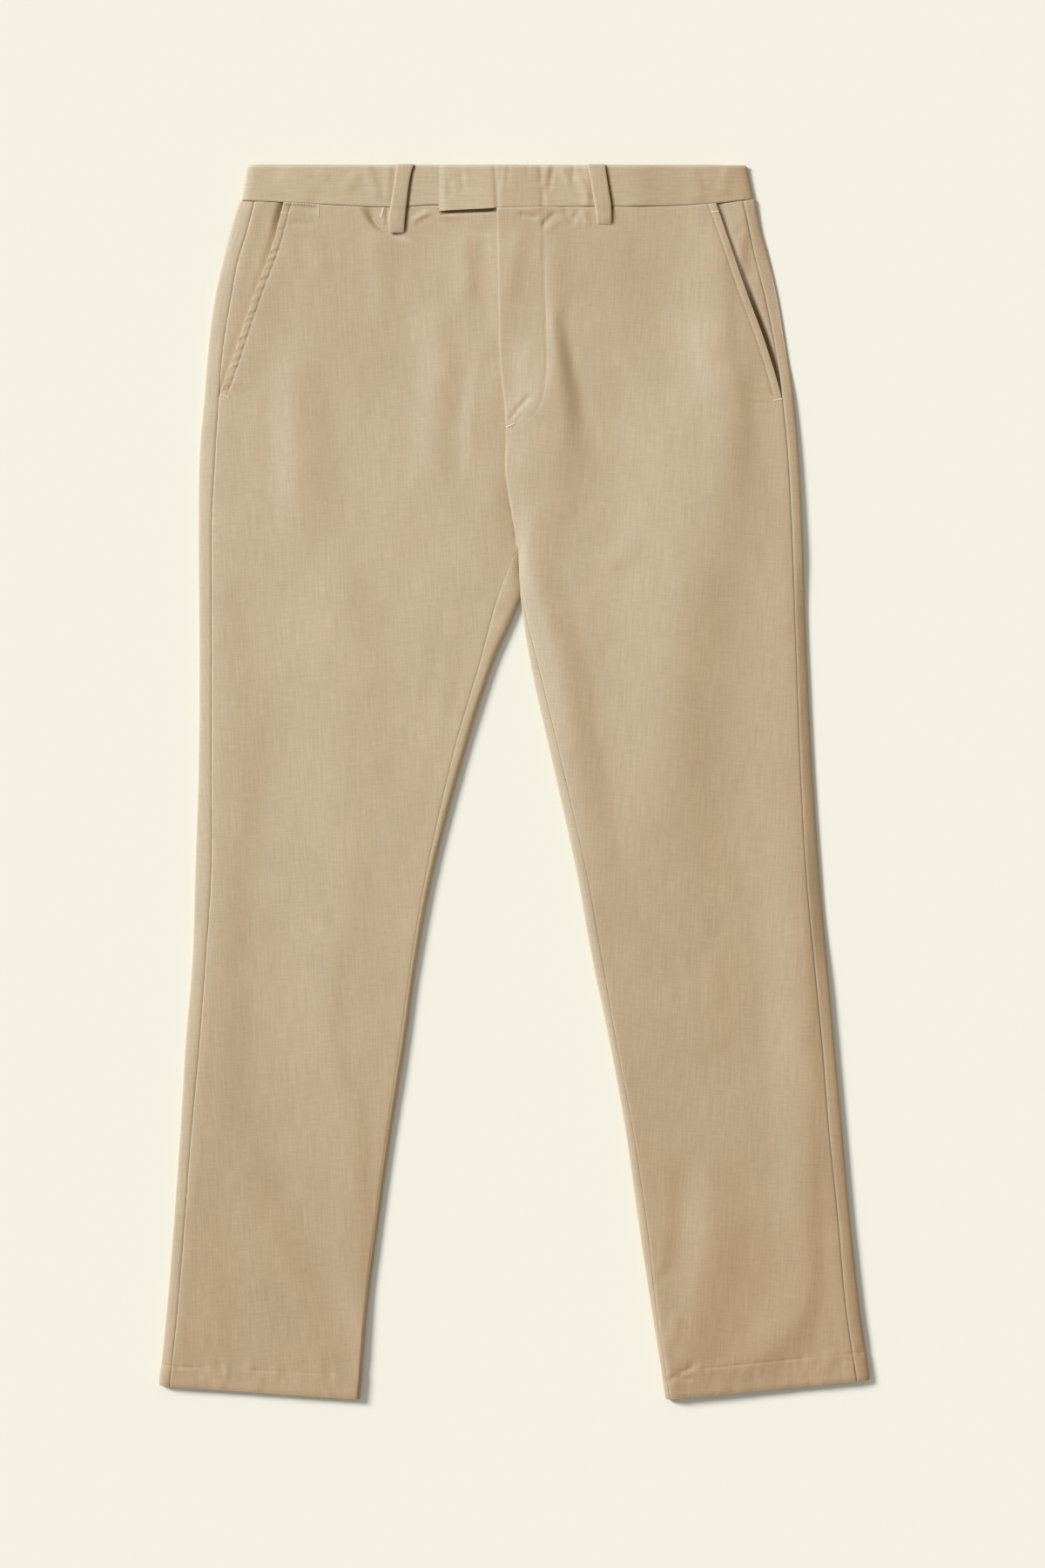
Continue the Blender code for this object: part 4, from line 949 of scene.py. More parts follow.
def fold_relief(folds, x, down):
    """Sum of the folds' heights at these points."""
    total = np.zeros(np.broadcast(x, down).shape)
    for fold in folds:
        run_x, run_down = fold.to_x - fold.x, fold.to_down - fold.down
        length = math.hypot(run_x, run_down)
        toward_x, toward_down = run_x / length, run_down / length
        along = ((x - fold.x) * toward_x + (down - fold.down) * toward_down) / length
        side = (x - fold.x) * toward_down - (down - fold.down) * toward_x
        side = side - fold.bow * 4 * along * (1 - along)
        reach = np.where(side < 0, fold.west, fold.east)
        fade = smooth(along / FOLD_END) * smooth((1 - along) / FOLD_END)
        total = total + fold.height * fade * smooth(1 - np.abs(side) / reach)
    return total


def ridge_relief(ridges, x, down):
    """Sum of the wandering folds' heights at these points."""
    total = np.zeros(np.broadcast(x, down).shape)
    for ridge in ridges:
        side = x - read(ridge, down, "x")
        reach = np.where(side < 0, read(ridge, down, "west"), read(ridge, down, "east"))
        fade = smooth((down - ridge[0].down) / (ridge[1].down - ridge[0].down))
        fade = fade * smooth((ridge[-1].down - down) / (ridge[-1].down - ridge[-2].down))
        total = total + read(ridge, down, "height") * fade * smooth(1 - np.abs(side) / reach)
    return total


def distance_to_line(x, down, line):
    """Distance of each point from a chain of straight runs."""
    nearest = np.full(np.broadcast(x, down).shape, 1.0)
    for a, b in zip(line[:-1], line[1:]):
        run = b - a
        t = np.clip(((x - a[0]) * run[0] + (down - a[1]) * run[1]) / (run @ run), 0.0, 1.0)
        away = np.hypot(x - a[0] - t * run[0], down - a[1] - t * run[1])
        nearest = np.minimum(nearest, away)
    return nearest


def smooth_line(points, count):
    """A smooth curve through the points, as an array of count (x, down) pairs."""
    Station = namedtuple("Station", "at x down")
    at, table = 0.0, []
    for k, point in enumerate(points):
        if k:
            at += math.dist(point, points[k - 1])
        table.append(Station(at, *point))
    places = np.linspace(0.0, at, count)
    return np.column_stack([read(table, places, "x"), read(table, places, "down")])


FLY_LINE = smooth_line(FLY_STITCHING, 90)


# ---------------------------------------------------------------- the garment's surfaces

def waist_seam(x, on_back=False):
    """Down to the waist seam: it waves across the front, and runs straight across the back."""
    right, left = WAIST_SEAM[0], WAIST_SEAM[-1]
    share = (x - right.across) / (left.across - right.across)
    straight = mix(right.down, left.down, share)
    return np.where(on_back, straight, read(WAIST_SEAM, x, "down"))


def tilted(down, across, leg):
    """The rows tilt towards the hem, which rises from the inner fold (across 1) to the outer (0)."""
    tilt = smooth((down - HEM_TILT_FROM) / (LENGTH - HEM_TILT_FROM))
    return down - tilt * leg.hem_rise * (1 - across)


def levelled(x, down, on_back=False):
    """Near the waist the rows bend until the first one follows the waist seam."""
    seam = waist_seam(x, on_back) + SEAM_GAP / 2
    share = (down - WAIST_ROW) / (ROW_LEVEL_FROM - WAIST_ROW)
    return np.where(down < ROW_LEVEL_FROM, mix(seam, ROW_LEVEL_FROM, share), down)


def settled(x, down):
    """How much lower the cloth lies towards the right leg's inner fold and the left hip."""
    outer = read(RIGHT_SIDE, down, "fold")
    inner = read(RIGHT_INNER, np.maximum(down, CROTCH_TO), "fold")
    across = np.clip((x - outer) / (inner - outer), 0.0, 1.0)
    to_hip = np.clip(x / SETTLE_HIP_AT, 0.0, 1.0)
    left_to = mix(SETTLE_CROTCH_TO, SETTLE_HIP_TO, to_hip)
    on_left = 1 - smooth((down - left_to) / SETTLE_LEFT_OVER)
    hip = smooth((x - read(LEFT_SIDE, down, "fold") + HIP_REACH) / HIP_REACH)
    hip = HIP_FALL * hip * faded(down, HIP_FALL_END)
    return SETTLE * across * np.where(x > inner, on_left, faded(down, SETTLE_END_RIGHT)) + hip


def upper_height(x, down):
    """Upper side of the front, away from its folded edges."""
    height = LEG_HEIGHT + WAIST_EXTRA * faded(down, WAIST_EXTRA_END) - settled(x, down)
    height = height + fold_relief(FOLDS, x, down) + fold_relief(CREASES, x, down)
    height = height + ridge_relief(RIDGES, x, down)
    middle = read(CENTRE_FRONT, down, "edge")
    depth = VALLEY_DEPTH * grown(down, VALLEY_IN) * faded(down, VALLEY_END)
    reach = np.where(x < middle, VALLEY_WEST, VALLEY_EAST)
    height = height - depth * np.clip(1 - np.abs(x - middle) / reach, 0.0, 1.0) ** 2
    for bumps in CLOTH_BUMPS:
        height = height + bumpy(x, down, bumps)
    return height


def lifted_share(x):
    """1 where the back belt loops lift the cloth, 0 at the left side, which lies on the floor."""
    return 1 - smooth((x - LIFT_SIDE_FROM) / LIFT_SIDE_REACH)


def floor_height(x, down):
    """Lower side of the back: on the floor, lifted at the waist by the back belt loops."""
    lift = PANEL_LIFT * (1 - smooth((down - LIFT_FULL_TO) / (LIFT_GONE_AT - LIFT_FULL_TO)))
    return lift * lifted_share(x) + fold_relief(BACK_FOLDS, x, down)


def rolled(height, floor_z, distance, radius, turn_at):
    """Height of the upper side on its way round a folded edge at this distance."""
    middle = mix(floor_z, height, turn_at)
    share = np.clip(distance / radius, 0.0, 1.0)
    return middle + (height - middle) * np.sqrt(1 - (1 - share) ** 2)


def centre_back(down):
    """x of the centre back seam."""
    return mix(CENTRE_BACK_TOP, CENTRE_BACK_FORK, np.clip(down / FORK_DOWN, 0.0, 1.0))


LegLines = namedtuple("LegLines", "fold seam fold_in seam_in roll_out roll_in")


def leg_lines(leg, rows):
    """The folds, seams and roll widths of a leg at each row, as columns."""
    outer_down = tilted(rows, 0.0, leg)
    low = np.maximum(rows, CROTCH_TO)
    fold_in = read(leg.inner, low, "fold") + leg.sign * SEAM_GAP / 2
    seam_in = read(leg.inner, low, "seam")
    close = np.abs(seam_in - fold_in) < LEAST_TURN
    seam_in = np.where(close, fold_in + leg.sign * LEAST_TURN, seam_in)
    lines = (
        read(leg.side, outer_down, "fold") + leg.sign * FOLD_BULGE * grown(rows, FOLD_BULGE_IN),
        read(leg.side, outer_down, "seam"),
        fold_in,
        seam_in,
        read(leg.rolls, rows, "outer"),
        read(leg.rolls, rows, "inner"),
    )
    return LegLines(*[line[:, None] for line in lines])


def share_across(lines, x):
    """0 at the outer fold, 1 at the inner one."""
    return np.clip((lines.fold - x) / (lines.fold - lines.fold_in), 0.0, 1.0)


def upper_side(leg, lines, rows, x):
    """(real distance down, height) of points of the leg's upper side."""
    rows = rows[:, None]
    down = levelled(x, tilted(rows, share_across(lines, x), leg))
    height = upper_height(x, down)
    outer_turn = mix(LOW_TURN, HALF_TURN, grown(rows, LOW_TURN_END)) if leg.sign > 0 else HALF_TURN
    height = rolled(height, 0.0, np.abs(x - lines.fold), lines.roll_out, outer_turn)
    if leg.sign > 0:
        beyond = np.clip((x - lines.seam) / (lines.fold - lines.seam), 0.0, 1.0)
        height = height - STRIP_FALL * grown(down, STRIP_FALL_IN) * faded(down, STRIP_FALL_END) * beyond
    floor_z = mix(height - CROTCH_VALLEY, 0.0, grown(rows, LEGS_PART))
    inner_turn = HALF_TURN if leg.sign > 0 else LOW_TURN
    turned = rolled(height, floor_z, np.abs(x - lines.fold_in), lines.roll_in, inner_turn)
    inside = (lines.fold_in - x) * leg.sign > 0
    turned = np.where(inside, mix(floor_z, height, inner_turn), turned)
    return down, mix(height, turned, grown(rows, CROTCH_VALLEY_IN))


def rows_of(leg):
    """Rows of a leg's panels: close together where the cloth is sewn, turned or rippled."""
    stitched = LENGTH - leg.hem_depth
    hem_high = stitched + min(leg.hem_change, 0.0)
    hem_low = stitched + max(leg.hem_change, 0.0)
    return np.concatenate(
        [
            WAIST_ROW + np.array([*NEAR_EDGE, 0.0031]),
            *[steps(*run) for run in LEG_ROWS],
            steps(LEG_ROWS[-1].stop, hem_high - 0.0038, 0.0030),
            steps(hem_high - 0.0026, hem_low + 0.0026, 0.0007),
            steps(hem_low + 0.0036, LENGTH - 0.0030, 0.0016),
            LENGTH - HEM_STEPS,
        ]
    )


# ---------------------------------------------------------------- laying cloth

def laid(x, down, height):
    """A grid of points."""
    return np.stack([x, TOP_Y - down, height], axis=2)


def facing_out(swapped, *grids):
    """The grids as they are, or with their columns in the opposite order."""
    return [grid[:, ::-1] if swapped else grid for grid in grids]


def outward(points):
    """Unit normals of a grid of points, on its outer side."""
    along_row = np.gradient(points, axis=1)
    along_column = np.gradient(points, axis=0)
    normal = np.cross(along_column, along_row)
    return normal / np.maximum(np.linalg.norm(normal, axis=2, keepdims=True), 1e-12)


def raised(points, relief):
    """The grid moved outwards by the relief."""
    return points + outward(points) * relief[:, :, None]


def turned_grain(across, along, angle):
    """The grain's own coordinates, for threads that are turned by this angle."""
    cosine, sine = math.cos(angle), math.sin(angle)
    return np.stack([across * cosine - along * sine, across * sine + along * cosine], axis=2)


def planar_grain(points, angle):
    """Where each point lies along and across the cloth's threads, in metres."""
    return turned_grain(points[:, :, 0], points[:, :, 1], angle)


def wrapped_grain(points, angle):
    """As planar_grain, for a piece that wraps round a fold: across is measured along its surface."""
    run = np.linalg.norm(np.diff(points[:, :, ::2], axis=1), axis=2)
    across = np.concatenate([np.zeros((len(points), 1)), np.cumsum(run, axis=1)], axis=1)
    across = across - across[:, across.shape[1] // 2][:, None]
    return turned_grain(across, points[:, :, 1], angle)


def mesh_of(name, shape):
    mesh = bpy.data.meshes.new(name)
    shape.to_mesh(mesh)
    shape.free()
    return mesh


def add_object(name, data):
    piece = bpy.data.objects.new(name, data)
    bpy.context.scene.collection.objects.link(piece)
    return piece


def lay_cloth(name, points, grain, wear_and_painted_shade, thickness, material, doubled=None, rim=RIM):
    """One piece of cloth from a grid of points, with its thickness inwards and its rim rounded."""
    rows, columns = points.shape[:2]
    shell = bmesh.new()
    bmesh.ops.create_grid(shell, x_segments=columns - 1, y_segments=rows - 1, size=0.5)
    mesh = mesh_of(name, shell)
    flat = np.empty(len(mesh.vertices) * 3, np.float32)
    mesh.vertices.foreach_get("co", flat)
    flat = flat.reshape(-1, 3)
    column = np.rint((flat[:, 0] + 0.5) * (columns - 1)).astype(int)
    row = rows - 1 - np.rint((flat[:, 1] + 0.5) * (rows - 1)).astype(int)
    mesh.vertices.foreach_set("co", points[row, column].astype(np.float32).ravel())
    layer = mesh.uv_layers.new(name="grain")
    corner = np.empty(len(mesh.loops), np.int32)
    mesh.loops.foreach_get("vertex_index", corner)
    layer.data.foreach_set("uv", grain[row, column][corner].astype(np.float32).ravel())
    wear_and_shade_layer = mesh.attributes.new("wear_and_painted_shade", "FLOAT", "POINT")
    wear_and_shade_layer.data.foreach_set("value", wear_and_painted_shade[row, column].astype(np.float32))
    mesh.update()
    mesh.shade_smooth()
    mesh.materials.append(material)
    piece = add_object(name, mesh)
    wall = piece.modifiers.new("thickness", "SOLIDIFY")
    wall.thickness = thickness
    wall.offset = -1.0
    wall.use_even_offset = False
    if doubled is not None:
        group = piece.vertex_groups.new(name="hem")
        chosen = np.nonzero(doubled[row, column])[0]
        group.add([int(k) for k in chosen], 1.0, "REPLACE")
        wall.thickness = HEM_CLOTH
        wall.vertex_group = group.name
        wall.thickness_vertex_group = thickness / HEM_CLOTH
    bevel = piece.modifiers.new("rounded_rim", "BEVEL")
    bevel.affect = "EDGES"
    bevel.width = rim
    bevel.segments = 2
    bevel.profile = 0.5
    bevel.material = -1
    bevel.limit_method = "ANGLE"
    bevel.angle_limit = RIM_ANGLE
    return piece


def sewn_in(piece, replaced):
    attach(piece, "root")
    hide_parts(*replaced)


# ---------------------------------------------------------------- materials

class Nodes:
    """Adds nodes to a material and links them."""

    def __init__(self, name):
        self.material = bpy.data.materials.new(name)
        self.material.use_nodes = True
        self.tree = self.material.node_tree
        self.shader = self.tree.nodes["Principled BSDF"]

    def add(self, kind, **settings):
        node = self.tree.nodes.new(kind)
        for setting, value in settings.items():
            setattr(node, setting, value)
        return node

    def join(self, source, target):
        self.tree.links.new(source, target)

    def feed(self, value, socket):
        """Sets the socket to a constant, or links it."""
        if isinstance(value, (int, float, tuple)):
            socket.default_value = value
        else:
            self.join(value, socket)

    def math(self, operation, a, b):
        node = self.add("ShaderNodeMath", operation=operation)
        self.feed(a, node.inputs[0])
        self.feed(b, node.inputs[1])
        return node.outputs[0]

    def total(self, first, *others):
        for other in others:
            first = self.math("ADD", first, other)
        return first

    def product(self, first, *others):
        for other in others:
            first = self.math("MULTIPLY", first, other)
        return first

    def noise(self, vector, scale, stretch=(1, 1, 1), detail=3.0, rough=0.55):
        mapping = self.add("ShaderNodeMapping")
        mapping.inputs["Scale"].default_value = [scale * s for s in stretch]
        self.join(vector, mapping.inputs["Vector"])
        noise = self.add("ShaderNodeTexNoise")
        noise.inputs["Scale"].default_value = 1.0
        noise.inputs["Detail"].default_value = detail
        noise.inputs["Roughness"].default_value = rough
        self.join(mapping.outputs[0], noise.inputs["Vector"])
        return noise.outputs[0]

    def spread(self, value, low, high, to_low, to_high):
        """The value's range from low to high, smoothly brought to another one and kept within it."""
        node = self.add("ShaderNodeMapRange", clamp=True, interpolation_type="SMOOTHSTEP")
        self.join(value, node.inputs["Value"])
        for name, number in zip(("From Min", "From Max", "To Min", "To Max"), (low, high, to_low, to_high)):
            node.inputs[name].default_value = number
        return node.outputs[0]

    def blend(self, kind, factor, a, b):
        node = self.add("ShaderNodeMix", data_type="RGBA", blend_type=kind)
        for value, socket in ((factor, node.inputs[0]), (a, node.inputs[6]), (b, node.inputs[7])):
            self.feed(value, socket)
        return node.outputs[2]

    def toned(self, colour, tone):
        """The colour, made lighter or darker by the tone."""
        node = self.add("ShaderNodeVectorMath", operation="SCALE")
        self.feed(colour, node.inputs[0])
        self.join(tone, node.inputs["Scale"])
        return node.outputs[0]

    def bump(self, height, strength, distance):
        node = self.add("ShaderNodeBump")
        node.inputs["Strength"].default_value = strength
        node.inputs["Distance"].default_value = distance
        self.join(height, node.inputs["Height"])
        self.join(node.outputs[0], self.shader.inputs["Normal"])


def painted_falloff_share(n, place, turned):
    """Painted shade: how far the colour has gone from the cloth's own tone to a darker one, towards the hems,
    over the left thigh and hip, below the waist seam on the legs' cloth and on the band's left part."""
    axes = n.add("ShaderNodeSeparateXYZ")
    n.join(place, axes.inputs[0])
    x, y = axes.outputs["X"], axes.outputs["Y"]
    over_thigh = n.product(
        n.spread(x, -0.02, 0.12, 0.0, 0.30),
        n.spread(y, -0.30, -0.10, 0.3, 1.0),
        n.spread(y, 0.12, 0.34, 1.0, 0.65),
    )
    right_knee = n.product(
        n.spread(x, -0.02, -0.10, 0.0, 0.14),
        n.spread(y, 0.06, -0.10, 0.3, 1.0),
        n.spread(y, -0.42, -0.24, 0.35, 1.0),
    )
    left_foot = n.product(n.spread(x, 0.04, 0.10, 0.0, 0.07), n.spread(y, -0.26, -0.42, 0.0, 1.0))
    at_waist = n.spread(x, 0.072, 0.096, 0.0, 0.38) if turned else n.spread(y, 0.28, 0.44, 0.08, 0.22)
    fall = n.total(n.spread(y, 0.25, -0.65, 0.0, 1.0), over_thigh)
    fall = n.total(n.math("SUBTRACT", fall, right_knee), left_foot, at_waist)
    return n.product(fall, 1 / FALL_RANGE)


def cotton_twill(name, turned=False):
    """Brushed cotton twill, garment washed: fine diagonal ribs, slubby yarns, painted shade, shadow and tint.
    """
    n = Nodes(name)
    uv = n.add("ShaderNodeUVMap", uv_map="grain").outputs[0]
    place = n.add("ShaderNodeTexCoord").outputs["Object"]
    # painted shade: darker and browner towards the hems, the left thigh and the waist, where light falls off
    cloth = n.blend("MIX", painted_falloff_share(n, place, turned), UPPER_TONE, PAINTED_FALLOFF_TONE)

    # washed cloudiness, then slubs along the warp and thinner ones along the weft
    clouds = n.spread(n.noise(place, 14.0, detail=4.0), 0.3, 0.7, 0.975, 1.025)
    warp = (0.035, 1, 1) if turned else (1, 0.035, 1)
    weft = (1, 0.05, 1) if turned else (0.05, 1, 1)
    slubs = n.noise(uv, 900.0, warp, detail=2.0)
    slub_tone = n.spread(slubs, 0.25, 0.75, 0.930, 1.070)
    fine = n.noise(uv, 1100.0, weft, detail=2.0)
    fine_tone = n.spread(fine, 0.25, 0.75, 0.955, 1.045)
    mottle = n.spread(n.noise(uv, 260.0, detail=3.0, rough=0.65), 0.3, 0.7, 0.982, 1.018)

    # diagonal ribs of the twill, waved by the yarns' own unevenness
    rib = n.add("ShaderNodeTexWave", wave_type="BANDS", bands_direction="DIAGONAL", wave_profile="SIN")
    rib.inputs["Scale"].default_value = 2 * math.pi / (WAVE_RADIANS * RIB_REPEAT)
    rib.inputs["Distortion"].default_value = 1.2
    rib.inputs["Detail"].default_value = 1.0
    rib.inputs["Detail Scale"].default_value = 1.6
    n.join(uv, rib.inputs["Vector"])
    ribs = rib.outputs["Fac"]
    rib_tone = n.spread(ribs, 0.0, 1.0, 0.950, 1.035)

    # worn edges are paler; below 0 the attribute is painted shadow beside the loops, under the tab and in the
    # left pocket
    wear_and_painted_shade = n.add("ShaderNodeAttribute", attribute_name="wear_and_painted_shade", attribute_type="GEOMETRY").outputs["Fac"]
    wear_and_shade_tone = n.total(n.product(wear_and_painted_shade, 0.09), 1.0)
    colour = n.toned(cloth, n.product(clouds, slub_tone, fine_tone, mottle, rib_tone, wear_and_shade_tone))

    # painted light: slopes that face the lamp are tinted greyer, those turned away from it browner
    lean = n.add("ShaderNodeVectorMath", operation="DOT_PRODUCT")
    n.join(n.add("ShaderNodeNewGeometry").outputs["Normal"], lean.inputs[0])
    lean.inputs[1].default_value = PAINTED_LIGHT_DIRECTION
    lit_share = n.spread(lean.outputs["Value"], -0.3, 0.3, 0.0, 1.0)
    tinted_colour = n.blend("MULTIPLY", 1.0, colour, n.blend("MIX", lit_share, PAINTED_SHADED_TINT, PAINTED_LIT_TINT))
    # painted shadow: below 0 the colour is darkened towards the painted shadow tone
    tinted_colour = n.blend("MULTIPLY", n.spread(wear_and_painted_shade, 0.0, -1.0, 0.0, 1.0), tinted_colour, PAINTED_SHADOW_TONE)
    n.join(tinted_colour, n.shader.inputs["Base Color"])

    n.join(n.spread(slubs, 0.2, 0.8, 0.93, 0.82), n.shader.inputs["Roughness"])
    n.shader.inputs["Specular IOR Level"].default_value = 0.18
    n.shader.inputs["Sheen Weight"].default_value = 0.08
    n.shader.inputs["Sheen Roughness"].default_value = 0.5
    n.shader.inputs["Sheen Tint"].default_value = (0.95, 0.88, 0.75, 1.0)
    n.bump(n.total(n.product(ribs, 0.7), n.product(slubs, 0.9), n.product(fine, 0.5)), 0.6, TWILL_BUMP)
    return n.material


def thread(name, tone):
    """Sewing thread: a tight twist with a faint gloss."""
    n = Nodes(name)
    place = n.add("ShaderNodeTexCoord").outputs["Object"]
    twist = n.noise(place, 4200.0, (1, 0.6, 1), detail=1.0)
    shade = n.spread(twist, 0.3, 0.7, 0.90, 1.06)
    n.join(n.toned(tone[:3], shade), n.shader.inputs["Base Color"])
    n.shader.inputs["Roughness"].default_value = 0.62
    n.shader.inputs["Specular IOR Level"].default_value = 0.35
    n.bump(twist, 0.4, THREAD_BUMP)
    return n.material


# ---------------------------------------------------------------- panels

def columns_between(outer, inner, near_outer, near_inner, middle_count, densest, crowding):
    """x of each column from the outer to the inner edge: set distances near both, and between them
    columns that crowd a little round one place."""
    toward = np.sign(inner - outer)
    first = outer + toward * near_outer[None, :]
    last = inner - toward * near_inner[None, ::-1]
    shares = np.linspace(0.0, 1.0, middle_count + 2)[None, 1:-1]
    turn = 2 * math.pi
    shares = shares - crowding / turn * (np.sin(turn * (shares - densest)) + math.sin(turn * densest))
    return np.concatenate([first, mix(first[:, -1:], last[:, :1], shares), last], axis=1)


def front_edges(leg, rows, lines):
    """x of the front panel's outer and inner edges at each row, as columns."""
    outer_down = tilted(rows, 0.0, leg)
    mouth = read(leg.mouth, rows, "edge")
    seam = read(leg.side, outer_down, "seam")
    outer = np.where(rows < leg.mouth[-1].down, mouth, seam) - leg.sign * SEAM_GAP / 2
    centre = read(CENTRE_FRONT, rows, "edge") + leg.sign * SEAM_GAP / 2
    if leg.sign < 0:
        centre = centre + read(CENTRE_FRONT, rows, "lap")
    inseam = lines.seam_in[:, 0] + leg.sign * SEAM_GAP / 2
    inner = mix(centre, inseam, grown(rows, FRONTS_PART))
    return outer[:, None], inner[:, None]


def fly_raise(x, down):
    """How much higher the left front lies over the fly's layers."""
    from_edge = x - read(CENTRE_FRONT, down, "edge")
    top = FLY_EDGE + FLY_EDGE_TOP * faded(down, FLY_EDGE_TOP_END)
    height = np.clip(read(FLY_STEP, down, "height"), 0.0, 1.0)
    at_edge = np.minimum(height, top) * faded(down, FLY_EDGE_END)
    share = np.clip(from_edge / read(FLY_STEP, down, "rise_over"), 0.0, 1.0)
    steep = 1 - (1 - share) ** 2
    rise = mix(at_edge, height, mix(smooth(share), steep, grown(down, FLY_STEEP_IN)))
    level_to, gone_at = read(FLY_STEP, down, "level_to"), read(FLY_STEP, down, "gone_at")
    return rise * (1 - smooth((x - level_to) / (gone_at - level_to)))


def seam_dip(x, down):
    """The right front sinks a little on its way under the left one's edge."""
    to_edge = read(CENTRE_FRONT, down, "edge") - x
    beside = RISE_DIP * grown(down, RISE_DIP_IN) * faded(down, RISE_DIP_END)
    along = RISE_LINE + RISE_LINE_BELOW_FLY * grown(down, RISE_LINE_IN) * faded(down, RISE_LINE_END)
    beside = beside * (1 - smooth(to_edge / RISE_DIP_REACH))
    return -beside - along * (1 - smooth(np.abs(to_edge) / RISE_LINE_WIDTH))


def mouth_raise(leg, x, rows, outer):
    """The edge of the pocket mouth stands up a little from the facing behind it."""
    height = read(leg.dips, rows, "edge")[:, None] * (1 - smooth(np.abs(x - outer) / MOUTH_FADE))
    return height * (1 - smooth((rows[:, None] - leg.mouth[-1].down + MOUTH_END) / MOUTH_END))


def groove(distance, depth):
    """The soft line that a row of stitches draws into the cloth."""
    return -depth * np.exp(-((distance / STITCH_DRAW_WIDTH) ** 2))


def seam_relief(distance, along, seed, depth=SEAM_DEPTH):
    """A pressed-open seam: the edge turns in, and the layers below it swell the cloth unevenly."""
    turn = -depth * (1 - smooth(distance / SEAM_WIDTH))
    swell = SEAM_SWELL * smooth(distance / 0.002) * (1 - smooth((distance - 0.006) / 0.006))
    pucker = SEAM_PUCKER * unevenness(distance, along, 0.010, 0.0045, seed) * (1 - smooth(distance / 0.008))
    return turn + swell + pucker


def pocket_edge_relief(leg, distance, down):
    """The turned edge of the pocket mouth: the stitching draws it in, and it ripples between."""
    relief = groove(distance - TOPSTITCH_FROM_EDGE, STITCH_DRAW)
    between = smooth(distance / 0.0012) * (1 - smooth((distance - 0.0045) / 0.0020))
    relief = relief + MOUTH_SWELL * between
    if leg.sign < 0:
        within = smooth((distance - 0.0002) / 0.0012) * (1 - smooth((distance - 0.0056) / 0.0018))
        for ripple in RIPPLES:
            at = down - ripple.down + RIPPLE_LEAN * (distance - 0.003)
            crest = RIPPLE_CREST * np.exp(-(((at + RIPPLE_CREST_AT) / RIPPLE_CREST_WIDTH) ** 2))
            shape = np.exp(-((at / RIPPLE_WIDTH) ** 2)) - crest
            relief = relief - ripple.depth * shape * within
    return relief + MOUTH_PUCKER * unevenness(distance, down, 0.004, 0.0032, 31 + leg.sign) * between


def hem_relief(leg, x, rows, lines):
    """The turned-up hem: a stitched line, and small puckers between it and the edge."""
    line = LENGTH - leg.hem_depth + leg.hem_change * (1 - share_across(lines, x))
    at = rows[:, None] - line
    drawn = HEM_DRAWN + HEM_DRAWN_BY_SIDE * leg.sign + unevenness(x, at, 0.022, 0.500, 45 + leg.sign)
    relief = groove(at, STITCH_DRAW) * np.clip(drawn, 0.0, 1.0) + smooth(at / 0.003) * HEM_SWELL
    pucker = unevenness(x, at, 0.0085, 0.014, 41 + leg.sign) + 0.6 * unevenness(x, at, 0.0042, 0.008, 43)
    near = smooth((at + 0.012) / 0.011) * (1 - 0.4 * smooth(at / 0.018))
    relief = relief + HEM_PUCKER * pucker * near
    from_bottom = LENGTH - rows[:, None]
    return relief - HEM_EDGE_TURN * (1 - smooth(from_bottom / HEM_EDGE_OVER))


def tab_drop(x):
    """How much lower the closing tab's lower edge is than the waist seam."""
    return TAB_DROP * np.clip((FLY_TOP - x) / (FLY_TOP - TAB_END), 0.0, 1.0)


def painted_shadow_share(x, down, with_tab=False):
    """Painted shadow beside a front belt loop's left edge or below the tab: 0 to 1."""
    painted_shadow = 0.0 * x
    for table in (RIGHT_LOOP, LEFT_LOOP):
        edge = read(table, down, "middle") + read(table, down, "width") / 2
        beside = 1 - smooth((np.abs(x - edge) - PAINTED_SHADOW_FULL) / PAINTED_SHADOW_REACH)
        painted_shadow = np.maximum(painted_shadow, beside * (1 - smooth((down - table[-1].down + 0.001) / 0.002)))
    if with_tab:
        from_tab = np.abs(down - waist_seam(x) - tab_drop(x))
        below = 1 - smooth((from_tab - PAINTED_SHADOW_FULL) / PAINTED_SHADOW_REACH)
        painted_shadow = np.maximum(painted_shadow, below * (x > TAB_END) * (x < FLY_TOP))
    return painted_shadow


def edge_wear(distance, reach=0.0012):
    """How much paler an edge has worn, from 1 at the edge itself down to 0."""
    return np.exp(-((distance / reach) ** 2))


